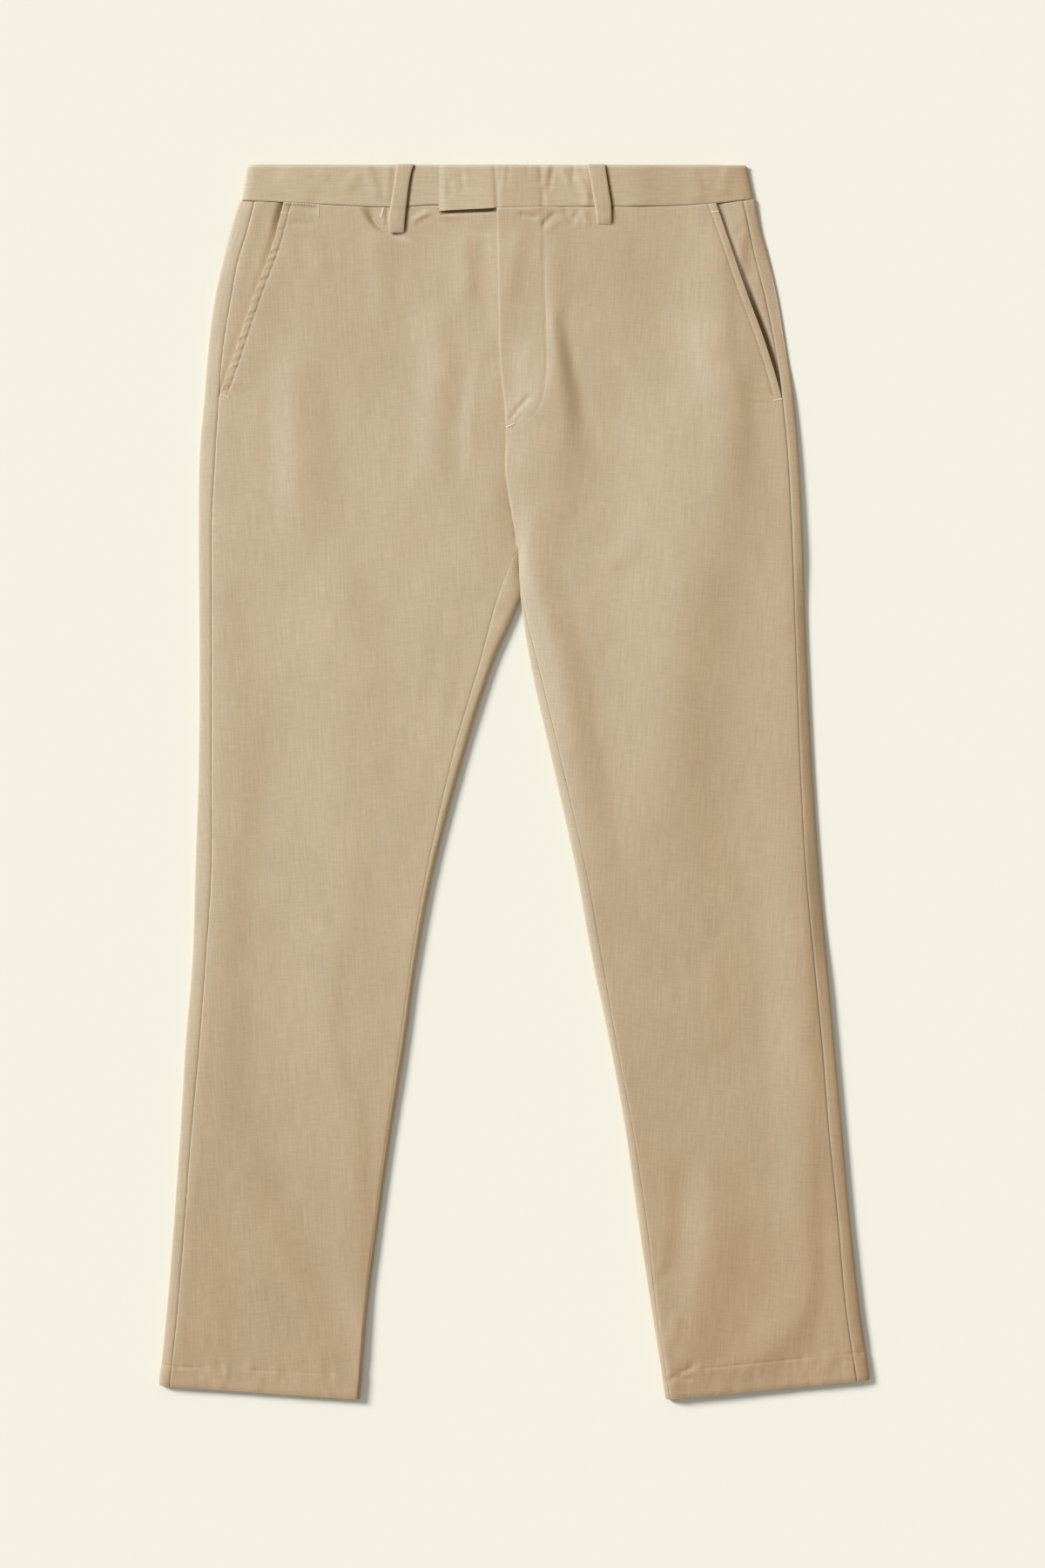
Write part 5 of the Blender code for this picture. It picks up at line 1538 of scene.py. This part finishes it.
def make_front(leg, material):
    """A front leg, from the waist seam to the hem. The left one ends in the fly's edge."""
    rows = rows_of(leg)
    lines = leg_lines(leg, rows)
    outer, inner = front_edges(leg, rows, lines)
    if leg.sign > 0:
        near_inner, middle_count, crowding = FLY_STEPS, 58, 0.0
    else:
        near_inner, middle_count, crowding = INNER_STEPS, 84, 0.5
    x = columns_between(outer, inner, EDGE_STEPS, near_inner, middle_count, 0.45, crowding)
    down, height = upper_side(leg, lines, rows, x)
    height = height + (fly_raise(x, down) if leg.sign > 0 else seam_dip(x, down))
    height = height + mouth_raise(leg, x, rows, outer)
    from_outer, from_inner = np.abs(x - outer), np.abs(x - inner)
    rows_2d = rows[:, None]

    in_pocket = 1 - smooth((rows_2d - leg.mouth[-1].down + 0.004) / 0.006)
    relief = mix(seam_relief(from_outer, rows_2d, 21), pocket_edge_relief(leg, from_outer, down), in_pocket)
    inseam = seam_relief(from_inner, rows_2d, 22 if leg.sign > 0 else 24, INSEAM_SINK)
    relief = relief + inseam * grown(rows_2d, INSEAM_IN)
    fold_wear = np.zeros_like(x)
    if leg.sign > 0:
        away = distance_to_line(x, down, FLY_LINE)
        relief = relief + groove(away, FLY_STITCH_DRAW)
        relief = relief - FLY_TURN * (1 - smooth(from_inner / FLY_TURN_WIDTH)) * faded(rows_2d, FLY_TURN_END)
        relief = relief + 0.00007 * unevenness(x, down, 0.005, 0.005, 23) * np.exp(-((away / 0.004) ** 2))
        fold_wear = edge_wear(from_inner) * (1 - smooth((rows_2d - FLY_END + 0.002) / 0.006))
    relief = relief + seam_relief(rows_2d - WAIST_ROW, x, 25)
    relief = relief + hem_relief(leg, x, rows, lines)

    wear_and_painted_shade = edge_wear(from_outer) * in_pocket + fold_wear + edge_wear(LENGTH - rows_2d)
    # painted shadow beside the loops and below the tab takes the attribute below 0
    wear_and_painted_shade = np.clip(wear_and_painted_shade, 0, 1) - painted_shadow_share(x, down, with_tab=leg.sign < 0)
    points, relief, wear_and_painted_shade = facing_out(leg.sign > 0, laid(x, down, height), relief, wear_and_painted_shade)
    points = raised(points, relief)
    doubled = np.broadcast_to(rows_2d > LENGTH - leg.hem_depth, points.shape[:2])
    name = "front_" + leg.name
    grain = planar_grain(points, leg.grain)
    piece = lay_cloth(name + "_twill", points, grain, wear_and_painted_shade, CLOTH, material, doubled)
    sewn_in(piece, [name])
    return piece


def turned_strip(leg, lines, rows, fold, seam, inward, count):
    """Columns of the back panel from its seam on top round a fold to the floor: x, down, z."""
    rows_2d = rows[:, None]
    width = np.abs(seam - fold) - SEAM_GAP / 2
    angles = np.linspace(0.0, math.pi / 2, count)[None, :]
    x_top = fold + inward * width * (1 - np.sin(angles))
    down_top, z_top = upper_side(leg, lines, rows, x_top)
    if inward == -leg.sign:
        dip_kept = mix(1.0, SIDE_DIP_AT_FOLD, np.sin(angles) ** 2)
        z_top = z_top - read(leg.dips, rows, "side")[:, None] * dip_kept
    turn = np.linspace(0.0, math.pi / 2, 7)[None, 1:]
    x_low = fold + inward * ROLL_UNDER * (1 - np.cos(turn))
    down_low = levelled(x_low, tilted(rows_2d, share_across(lines, x_low), leg), True)
    floor_z = floor_height(x_low, down_low)
    middle = z_top[:, -1:]
    z_low = middle - (middle - floor_z) * np.sin(turn)
    # Round the fold the rows pass from the front's waist seam to the back's.
    share = np.linspace(0.0, 1.0, count)[None, :] * 0.5
    level_back = levelled(x_top, tilted(rows_2d, share_across(lines, x_top), leg), True)
    down_top = mix(down_top, level_back, share * (rows_2d < ROW_LEVEL_FROM))
    strips = ((x_top, x_low), (down_top, down_low), (z_top, z_low))
    return [np.concatenate(strip, axis=1) for strip in strips]


def make_back(leg, material):
    """A back leg: from its inner seam on top, round the inner fold, along the floor and round the outer
    fold to the side seam."""
    rows = rows_of(leg)
    rows_2d = rows[:, None]
    lines = leg_lines(leg, rows)
    outer = turned_strip(leg, lines, rows, lines.fold, lines.seam, -leg.sign, 12)
    turned = turned_strip(leg, lines, rows, lines.fold_in, lines.seam_in, leg.sign, 10)

    # Above the crotch the inner strip lies flat on the floor and ends at the centre back seam.
    end_x = centre_back(rows_2d) + leg.sign * SEAM_GAP / 2
    runs = np.hypot(np.diff(turned[0], axis=1), np.diff(turned[2], axis=1))
    run = np.concatenate([np.zeros_like(end_x), np.cumsum(runs, axis=1)], axis=1)
    flat_x = end_x + leg.sign * FLAT_SQUEEZE * run
    flat_down = levelled(flat_x, rows_2d, True)
    rise = np.clip((rows_2d - CROTCH_FROM) / (CROTCH_TO - CROTCH_FROM), 0.0, 1.0)
    sink = CROTCH_SINK * faded(rows_2d, CROTCH_SINK_END) * np.clip(turned[2] / CROTCH_SINK_FULL, 0, 1)
    inner = (
        mix(flat_x, turned[0], rise),
        mix(flat_down, turned[1], rise),
        mix(floor_height(flat_x, flat_down), turned[2] - sink, rise),
    )

    shares = np.linspace(0.0, 1.0, 34)[None, 1:-1]
    floor_x = mix(inner[0][:, -1:], outer[0][:, -1:], shares)
    floor_down = levelled(floor_x, tilted(rows_2d, share_across(lines, floor_x), leg), True)
    floor = (floor_x, floor_down, floor_height(floor_x, floor_down))
    x, down, z = (np.concatenate([a, b, c[:, ::-1]], axis=1) for a, b, c in zip(inner, floor, outer))

    # The two seams are felt only on their own side of the panel.
    far = np.full_like(x, 1.0)
    from_inner, from_outer = far.copy(), far.copy()
    inner_count, outer_count = inner[0].shape[1], outer[0].shape[1]
    from_inner[:, :inner_count] = np.abs(inner[0] - inner[0][:, :1])
    from_outer[:, -outer_count:] = np.abs(outer[0] - outer[0][:, :1])[:, ::-1]
    relief = seam_relief(from_outer, rows_2d, 26, SIDE_SINK_BACK) + seam_relief(from_inner, rows_2d, 27, 0.0)
    relief = relief + seam_relief(rows_2d - WAIST_ROW, x, 28)
    relief = relief + hem_relief(leg, x, rows, lines) * np.where(z > LEG_HEIGHT / 5, 1.0, HEM_ON_FLOOR)
    # The floor stays the lowest place of the cloth.
    relief = np.where(z < NEAR_FLOOR, np.minimum(relief, 0.0), relief)

    points, relief = facing_out(leg.sign > 0, laid(x, down, z), relief)
    points = raised(points, relief)
    points[:, :, 2] = np.maximum(points[:, :, 2], 0.0)
    wear_and_painted_shade = np.clip(edge_wear(LENGTH - rows_2d), 0, 1) * np.ones(points.shape[:2])
    doubled = np.broadcast_to(rows_2d > LENGTH - leg.hem_depth, points.shape[:2])
    name = "back_" + leg.name
    grain = wrapped_grain(points, leg.grain)
    piece = lay_cloth(name + "_twill", points, grain, wear_and_painted_shade, CLOTH, material, doubled)
    sewn_in(piece, [name])


def make_pocket_facing(leg, material):
    """The hip piece behind the pocket mouth, from the side seam to below the front panel."""
    rows = rows_of(leg)
    rows = rows[rows < leg.mouth[-1].down + FACING_END]
    rows_2d = rows[:, None]
    lines = leg_lines(leg, rows)
    seam = lines.seam - leg.sign * SEAM_GAP / 2
    mouth = read(leg.mouth, rows, "edge")[:, None]
    width = np.maximum(np.abs(seam - mouth), LEAST_FACING)
    x_seen = seam - leg.sign * width * FACING_SHARES
    x_hidden = mouth - leg.sign * POCKET_UNDERLAP * UNDERLAP_SHARES
    x = np.concatenate([x_seen, x_hidden], axis=1)
    down, height = upper_side(leg, lines, rows, x)

    from_seam = np.abs(x - seam)
    share = np.clip(from_seam / width, 0.0, 1.0)
    share = np.where(np.arange(x.shape[1])[None, :] >= x_seen.shape[1], 1.0, share)
    height = height - read(leg.dips, rows, "side")[:, None]
    dip = read(leg.dips, rows, "dip")[:, None]
    near_end = 1 - smooth((width - 0.0015) / 0.004)
    under = smooth(np.maximum(from_seam - width, 0.0) / UNDERLAP_DIP_OVER)
    height = height - dip * np.maximum(smooth(share / 0.8), near_end) - UNDERLAP_DIP * under
    to_mouth = np.maximum(width - from_seam, 0.0)
    deepest = 0.0 if leg.sign < 0 else GAP_DEEPEST
    hollow = 1 - smooth(np.maximum(to_mouth - deepest, 0.0) / GAP_REACH)
    height = height - read(leg.dips, rows, "gap")[:, None] * hollow
    height = np.maximum(height + fold_relief(FACING_FOLDS, x, down), CLOTH)
    relief = seam_relief(from_seam, rows_2d, 29) + seam_relief(rows_2d - WAIST_ROW, x, 30)

    # painted shadow in the left pocket's hollow beside the mouth, as a negative attribute
    pocket_shadow_down = grown(down, POCKET_PAINTED_SHADOW_IN) + POCKET_PAINTED_SHADOW_TOP * faded(down, POCKET_PAINTED_SHADOW_TOP_END)
    wear_and_painted_shade = -np.where(leg.sign > 0, hollow * pocket_shadow_down * POCKET_PAINTED_SHADOW, 0.0)
    points, relief, wear_and_painted_shade = facing_out(leg.sign > 0, laid(x, down, height), relief, wear_and_painted_shade)
    points = raised(points, relief)
    name = "pocket_facing_" + leg.name
    piece = lay_cloth(name + "_twill", points, planar_grain(points, leg.grain), wear_and_painted_shade, CLOTH, material)
    sewn_in(piece, [name])


# ---------------------------------------------------------------- waistband and belt loops

def band_rows():
    """Shares from the top edge (0) to the waist seam (1), close together at both."""
    middle = steps(0.0036, BAND_ROWS_HIGH - 0.0034, 0.0015)
    rows = np.concatenate([BAND_EDGE_STEPS, middle, BAND_ROWS_HIGH - BAND_EDGE_STEPS[::-1]])
    return rows / BAND_ROWS_HIGH


def make_waistband(name, side, front_end, top_fold, low_fold, material):
    """A waistband half: front end, front, side fold, back, centre back. Row 0 is the top edge."""
    shares = band_rows()[:, None]
    fold = mix(top_fold, low_fold, shares)
    start = front_end + side * BAND_END_STEPS
    turn_wide = BAND_TURN_LEFT if side > 0 else BAND_TURN_RIGHT
    turn_from = fold - side * turn_wide
    front_count = int(abs(top_fold - front_end) / BAND_FRONT_STEP)
    middle = mix(start[:, -1:], turn_from, np.linspace(0.0, 1.0, front_count)[None, 1:])
    x_front = np.concatenate([np.broadcast_to(start, (len(shares), start.shape[1])), middle], axis=1)
    angles = np.linspace(0.0, math.pi / 2, 10)[None, 1:]
    x_turn = fold - side * turn_wide * (1 - np.sin(angles))
    x_top = np.concatenate([x_front, x_turn], axis=1)
    turn = np.linspace(0.0, math.pi / 2, 7)[None, 1:]
    x_under = fold - side * BAND_ROLL * (1 - np.cos(turn))
    end_x = CENTRE_BACK_TOP + side * SEAM_GAP / 2
    x_back = mix(x_under[:, -1:], end_x, np.linspace(0.0, 1.0, 40)[None, 1:])

    low_front = waist_seam(x_top) - SEAM_GAP / 2
    if side > 0:
        low_front = low_front + tab_drop(x_top)
    down_front = low_front * shares
    z_front = BAND_TOP - settled(x_top, down_front) + fold_relief(BAND_FOLDS, x_top, down_front)
    z_front = z_front + bumpy(x_top, down_front, BAND_BUMPS)
    if side > 0:
        z_front = z_front + TAB_RAISE * faded(x_top, TAB_RAISE_END) - TAB_DROOP * faded(x_top, TAB_DROOP_END)
    side_z = BACK_LIFT * lifted_share(fold)
    z_front = rolled(z_front, side_z, np.abs(x_top - fold), turn_wide, LOW_TURN if side > 0 else HALF_TURN)
    middle_z = z_front[:, -1:]
    z_under = middle_z - (middle_z - side_z) * np.sin(turn)
    z_back = BACK_LIFT * lifted_share(x_back)
    down_rest = (waist_seam(np.concatenate([x_under, x_back], axis=1), True) - SEAM_GAP / 2) * shares
    x = np.concatenate([x_top, x_under, x_back], axis=1)
    down = np.concatenate([down_front, down_rest], axis=1)
    z = np.concatenate([z_front, z_under, z_back], axis=1)

    in_front = np.arange(x.shape[1])[None, :] < x_top.shape[1]
    from_top, from_low = down, (1 - shares) * BAND_ROWS_HIGH
    from_end = np.abs(x - front_end) + np.where(in_front, 0.0, 1.0)
    sewn = np.where((side > 0) & (x < FLY_TOP), 0.0, SEAM_DEPTH)
    relief = -BAND_EDGE_TURN * (1 - smooth(from_top / BAND_EDGE_OVER))
    relief = relief - sewn * (1 - smooth(from_low / SEAM_WIDTH))
    relief = relief - BAND_END_TURN * (1 - smooth(from_end / BAND_END_OVER))
    relief = np.where(z < BACK_LIFT * lifted_share(x) + 0.0002, np.minimum(relief, 0.0), relief)
    # painted shadow beside the front loops, as a negative attribute
    wear_and_painted_shade = np.clip(edge_wear(from_top) + edge_wear(from_end), 0, 1) - painted_shadow_share(x, down) * in_front

    points, relief, wear_and_painted_shade = facing_out(side < 0, laid(x, down, z), relief, wear_and_painted_shade)
    points = raised(points, relief)
    grain = wrapped_grain(points, 0.0)
    piece = lay_cloth(name + "_twill", points, grain, wear_and_painted_shade, BAND_CLOTH, material, rim=BAND_RIM)
    sewn_in(piece, [name])


def make_front_loop(name, table, material):
    """A folded strip sewn to the waistband's top edge and, below the waist seam, to the front."""
    top, foot = table[0].down, table[-1].down
    middle_rows = steps(0.0024, foot - 0.002, 0.0016)
    foot_rows = foot - np.array([0.0015, 0.0010, 0.0005, 0.0])
    rows = np.concatenate([[top, 0.0, 0.0006, 0.0014], middle_rows, foot_rows])[:, None]
    middle, width = read(table, rows, "middle"), read(table, rows, "width")
    across = np.concatenate([-LOOP_HALF_SHARES[:0:-1], LOOP_HALF_SHARES])[None, :]
    x = middle + width * across
    share = np.clip(rows / foot, 0.0, 1.0)
    level = LEG_HEIGHT + WAIST_EXTRA - settled(middle, rows)
    front_z = np.clip(upper_height(middle, rows), level - LOOP_LEVEL_BAND, level + LOOP_LEVEL_BAND)
    z = mix(BAND_TOP - settled(x, rows), front_z, grown(rows, LOOP_STEP_DOWN))
    z = z + LOOP_GAP + LOOP_CLOTH + LOOP_ARCH * np.sin(math.pi * share)
    z = z + LOOP_CROWN * (1 - (2 * across) ** 2)
    z = z - LOOP_TOP_TURN.depth * (1 - smooth((rows - top) / LOOP_TOP_TURN.over))
    for turn in LOOP_FOOT_TURNS:
        z = z - turn.depth * (1 - smooth((foot - rows) / turn.over))
    z = z - LOOP_EDGE_TURN * (1 - smooth((0.5 - np.abs(across)) / 0.08))
    z = z + bumpy(x, rows, LOOP_BUMPS)
    points = laid(x, np.broadcast_to(rows, x.shape), z)
    wear_and_painted_shade = edge_wear((0.5 - np.abs(across)) * width, LOOP_WEAR_REACH)
    piece = lay_cloth(name + "_twill", points, planar_grain(points, 0.0), wear_and_painted_shade, LOOP_CLOTH, material)
    sewn_in(piece, [name])


def make_back_loop(name, middle, material):
    """A loop under the back waistband, with its outer side on the floor."""
    middle_rows = steps(0.0020, BACK_LOOP_END - 0.002, 0.0030)
    end_rows = BACK_LOOP_END - np.array([0.0012, 0.0])
    rows = np.concatenate([[-0.0006, 0.0, 0.0008], middle_rows, end_rows])[:, None]
    x = middle + BACK_LOOP_WIDTH * BACK_LOOP_SHARES + 0 * rows
    rounded = 0.0003 * (1 - smooth((0.5 - np.abs(BACK_LOOP_SHARES)) / 0.10))
    z = rounded + 0.0002 * (1 - smooth(rows / 0.002))
    points = laid(x, np.broadcast_to(rows, x.shape), z)
    grain = planar_grain(points, 0.0)
    piece = lay_cloth(name + "_twill", points, grain, np.zeros(x.shape), LOOP_CLOTH, material)
    sewn_in(piece, [name])


# ---------------------------------------------------------------- stitching

class Stitching:
    """Stitches as one joined mesh: small rounded lozenges of thread, half sunk in the cloth."""

    def __init__(self):
        self.shape = bmesh.new()

    def add(self, spot, normal, direction, long, wide, high):
        normal = normal.normalized()
        direction = (direction - normal * direction.dot(normal)).normalized()
        side = normal.cross(direction)
        turn = Matrix((direction, side, normal)).transposed().to_4x4()
        place = Matrix.Translation(spot) @ turn @ Matrix.Diagonal((long / 2, wide / 2, high / 2, 1.0))
        bmesh.ops.create_uvsphere(self.shape, u_segments=6, v_segments=5, radius=1.0, matrix=place)

    def finish(self, name, material):
        mesh = mesh_of(name, self.shape)
        mesh.shade_smooth()
        mesh.materials.append(material)
        piece = add_object(name, mesh)
        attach(piece, "root")


class Surface:
    """The finished upper side of a piece, for laying thread on."""

    def __init__(self, piece):
        self.tree = BVHTree.FromObject(piece, bpy.context.evaluated_depsgraph_get())

    def drop(self, x, down):
        """The place and the normal of the cloth straight below a point above it."""
        spot, normal, _, _ = self.tree.ray_cast(Vector((x, TOP_Y - down, DROP_FROM)), Vector((0, 0, -1)))
        if spot is not None and normal.z < 0:
            normal = -normal
        return spot, normal


def sew_line(stitching, surface, line, pitch=STITCH_PITCH, long=STITCH_LONG):
    """Running stitches along a chain of (x, down) points."""
    rng = np.random.default_rng(STITCH_SEED)
    run = np.concatenate([[0.0], np.cumsum(np.hypot(*np.diff(line, axis=0).T))])
    for at in np.arange(pitch / 2, run[-1], pitch):
        ends = [at - STITCH_REACH * long, at + STITCH_REACH * long]
        x = np.interp([at, *ends], run, line[:, 0])
        down = np.interp([at, *ends], run, line[:, 1])
        middle, first, last = (surface.drop(x[k], down[k]) for k in range(3))
        if middle[0] is None or first[0] is None or last[0] is None:
            continue
        grow = 1 + STITCH_SPREAD * rng.uniform(-1, 1)
        spot = middle[0] - middle[1].normalized() * STITCH_SINK
        run_of_stitch = last[0] - first[0]
        stitching.add(spot, middle[1], run_of_stitch, long * grow, STITCH_WIDE, STITCH_WIDE * STITCH_HIGH)


def bar_tack(stitching, surface, x, down, to_x, to_down, width=TACK_WIDE, pitch=TACK_PITCH):
    """A dense row of short stitches across the line from one end of the tack to the other."""
    length = math.hypot(to_x - x, to_down - down)
    count = int(length / pitch)
    along = Vector((to_x - x, -(to_down - down), 0)).normalized()
    across = Vector((-along.y, along.x, 0))
    for k in range(count + 1):
        share = k / count
        spot, normal = surface.drop(mix(x, to_x, share), mix(down, to_down, share))
        if spot is None:
            continue
        lean = across + along * (TACK_LEAN if k % 2 else -TACK_LEAN)
        spot = spot + normal * TACK_LIFT
        stitching.add(spot, normal, lean, width, TACK_THREAD_WIDE, TACK_THREAD_HIGH)


def mouth_line(leg):
    """The stitched line that follows the pocket mouth inside its edge."""
    downs = np.linspace(MOUTH_STITCH_FROM, leg.mouth[-1].down - MOUTH_STITCH_SHORT, 120)
    edge = read(leg.mouth, downs, "edge")
    slope = np.gradient(edge, downs)
    away = np.hypot(1.0, slope)
    inset = leg.sign * TOPSTITCH_FROM_EDGE
    return np.column_stack([edge - inset / away, downs + inset * slope / away])


def hem_line(leg):
    """The hem's stitched line, across the upper side of the leg."""
    rows = np.array([LENGTH - leg.hem_depth])
    lines = leg_lines(leg, rows)
    inset = leg.sign * HEM_STITCH_INSET
    x = np.linspace(float(lines.fold[0, 0]) - inset, float(lines.fold_in[0, 0]) + inset, 90)
    across = share_across(lines, x[None, :])
    down = tilted(rows[:, None] + leg.hem_change * (1 - across), across, leg)[0]
    return np.column_stack([x, down])


# ---------------------------------------------------------------- scene

PIXEL = 0.00075  # of a render of 1200 x 1800, at the height of the cloth
PIXELS_HIGH = 1800
VIEW_CENTRE = Vector((0.00675, -0.0015, 0.0))
CAMERA_HEIGHT = 3.2
SENSOR_WIDE = 36.0
FLOOR_DROP = 0.0003  # the floor is drawn this far below the cloth
FLOOR_HALF = 40.0


def add_camera():
    camera = add_object("camera", bpy.data.cameras.new("camera"))
    camera.data.sensor_width = SENSOR_WIDE
    camera.data.lens = SENSOR_WIDE * (CAMERA_HEIGHT - LEG_HEIGHT) / (PIXELS_HIGH * PIXEL)
    camera.data.clip_end = 100.0
    camera.location = VIEW_CENTRE + Vector((0, 0, CAMERA_HEIGHT))
    bpy.context.scene.camera = camera


SUN_ELEVATION = math.radians(27)
SUN_AZIMUTH = math.radians(30)  # above the -X direction, so the light comes from the upper left
SUN_SIZE = 0.30
SUN_STRENGTH = 5.0
SKY_STRENGTH = 0.42


def add_light():
    sun = add_object("window_light", bpy.data.lights.new("window_light", "SUN"))
    sun.data.angle = SUN_SIZE
    sun.data.energy = SUN_STRENGTH
    flat = math.cos(SUN_ELEVATION)
    toward = Vector((-math.cos(SUN_AZIMUTH) * flat, math.sin(SUN_AZIMUTH) * flat, math.sin(SUN_ELEVATION)))
    sun.rotation_euler = toward.to_track_quat("Z", "Y").to_euler()
    world = bpy.data.worlds.new("studio")
    world.use_nodes = True
    background = world.node_tree.nodes["Background"]
    background.inputs["Color"].default_value = (1.0, 1.0, 1.0, 1.0)
    background.inputs["Strength"].default_value = SKY_STRENGTH
    bpy.context.scene.world = world
    bpy.context.scene.view_settings.view_transform = "Standard"


def add_floor():
    shape = bmesh.new()
    place = Matrix.Translation((0, 0, -FLOOR_DROP))
    bmesh.ops.create_grid(shape, x_segments=1, y_segments=1, size=FLOOR_HALF, matrix=place)
    n = Nodes("floor_paper")
    n.shader.inputs["Base Color"].default_value = FLOOR_TONE
    n.shader.inputs["Roughness"].default_value = 1.0
    n.shader.inputs["Specular IOR Level"].default_value = 0.0
    floor = add_object("floor", mesh_of("floor", shape))
    floor.data.materials.append(n.material)


def make_garment():
    """All pieces of cloth. Returns the two fronts, by the leg's name, for the stitching."""
    twill = cotton_twill("cotton_twill")
    band_twill = cotton_twill("cotton_twill_waistband", turned=True)
    fronts = {}
    for leg in (RIGHT_LEG, LEFT_LEG):
        make_back(leg, twill)
        make_pocket_facing(leg, twill)
        fronts[leg.name] = make_front(leg, twill)
    right_low, left_low = RIGHT_SIDE[0].fold, LEFT_SIDE[0].fold
    make_waistband("waistband_right", -1, UNDER_TAB_END, BAND_TOP_RIGHT, right_low, band_twill)
    make_waistband("waistband_left", 1, TAB_END, BAND_TOP_LEFT, left_low, band_twill)
    make_front_loop("belt_loop_front_right", RIGHT_LOOP, twill)
    make_front_loop("belt_loop_front_left", LEFT_LOOP, twill)
    for name, middle in BACK_LOOPS:
        make_back_loop(name, middle, twill)
    return fronts


def sew(fronts):
    """The topstitching, and the tacks that hold the pockets, the fly's foot and the coin pocket."""
    bpy.context.view_layer.update()
    tops = {name: Surface(piece) for name, piece in fronts.items()}
    seams, tacks = Stitching(), Stitching()
    sew_line(seams, tops["left"], FLY_LINE)
    for leg in (RIGHT_LEG, LEFT_LEG):
        top = tops[leg.name]
        sew_line(seams, top, mouth_line(leg))
        sew_line(seams, top, hem_line(leg), HEM_STITCH_PITCH, HEM_STITCH_LONG)
    for tack in TACKS:
        bar_tack(tacks, tops[tack.leg], tack.x, tack.down, tack.to_x, tack.to_down, tack.width)
    row = COIN_POCKET_ROW
    bar_tack(seams, tops[row.leg], row.x, row.down, row.to_x, row.to_down, row.width, COIN_POCKET_PITCH)
    seams.finish("seam_stitches", thread("seam_thread", THREAD_TONE))
    tacks.finish("bar_tacks", thread("tack_thread", TACK_TONE))


def main():
    """Builds the scene."""
    add_camera()
    add_light()
    add_floor()
    sew(make_garment())


main()
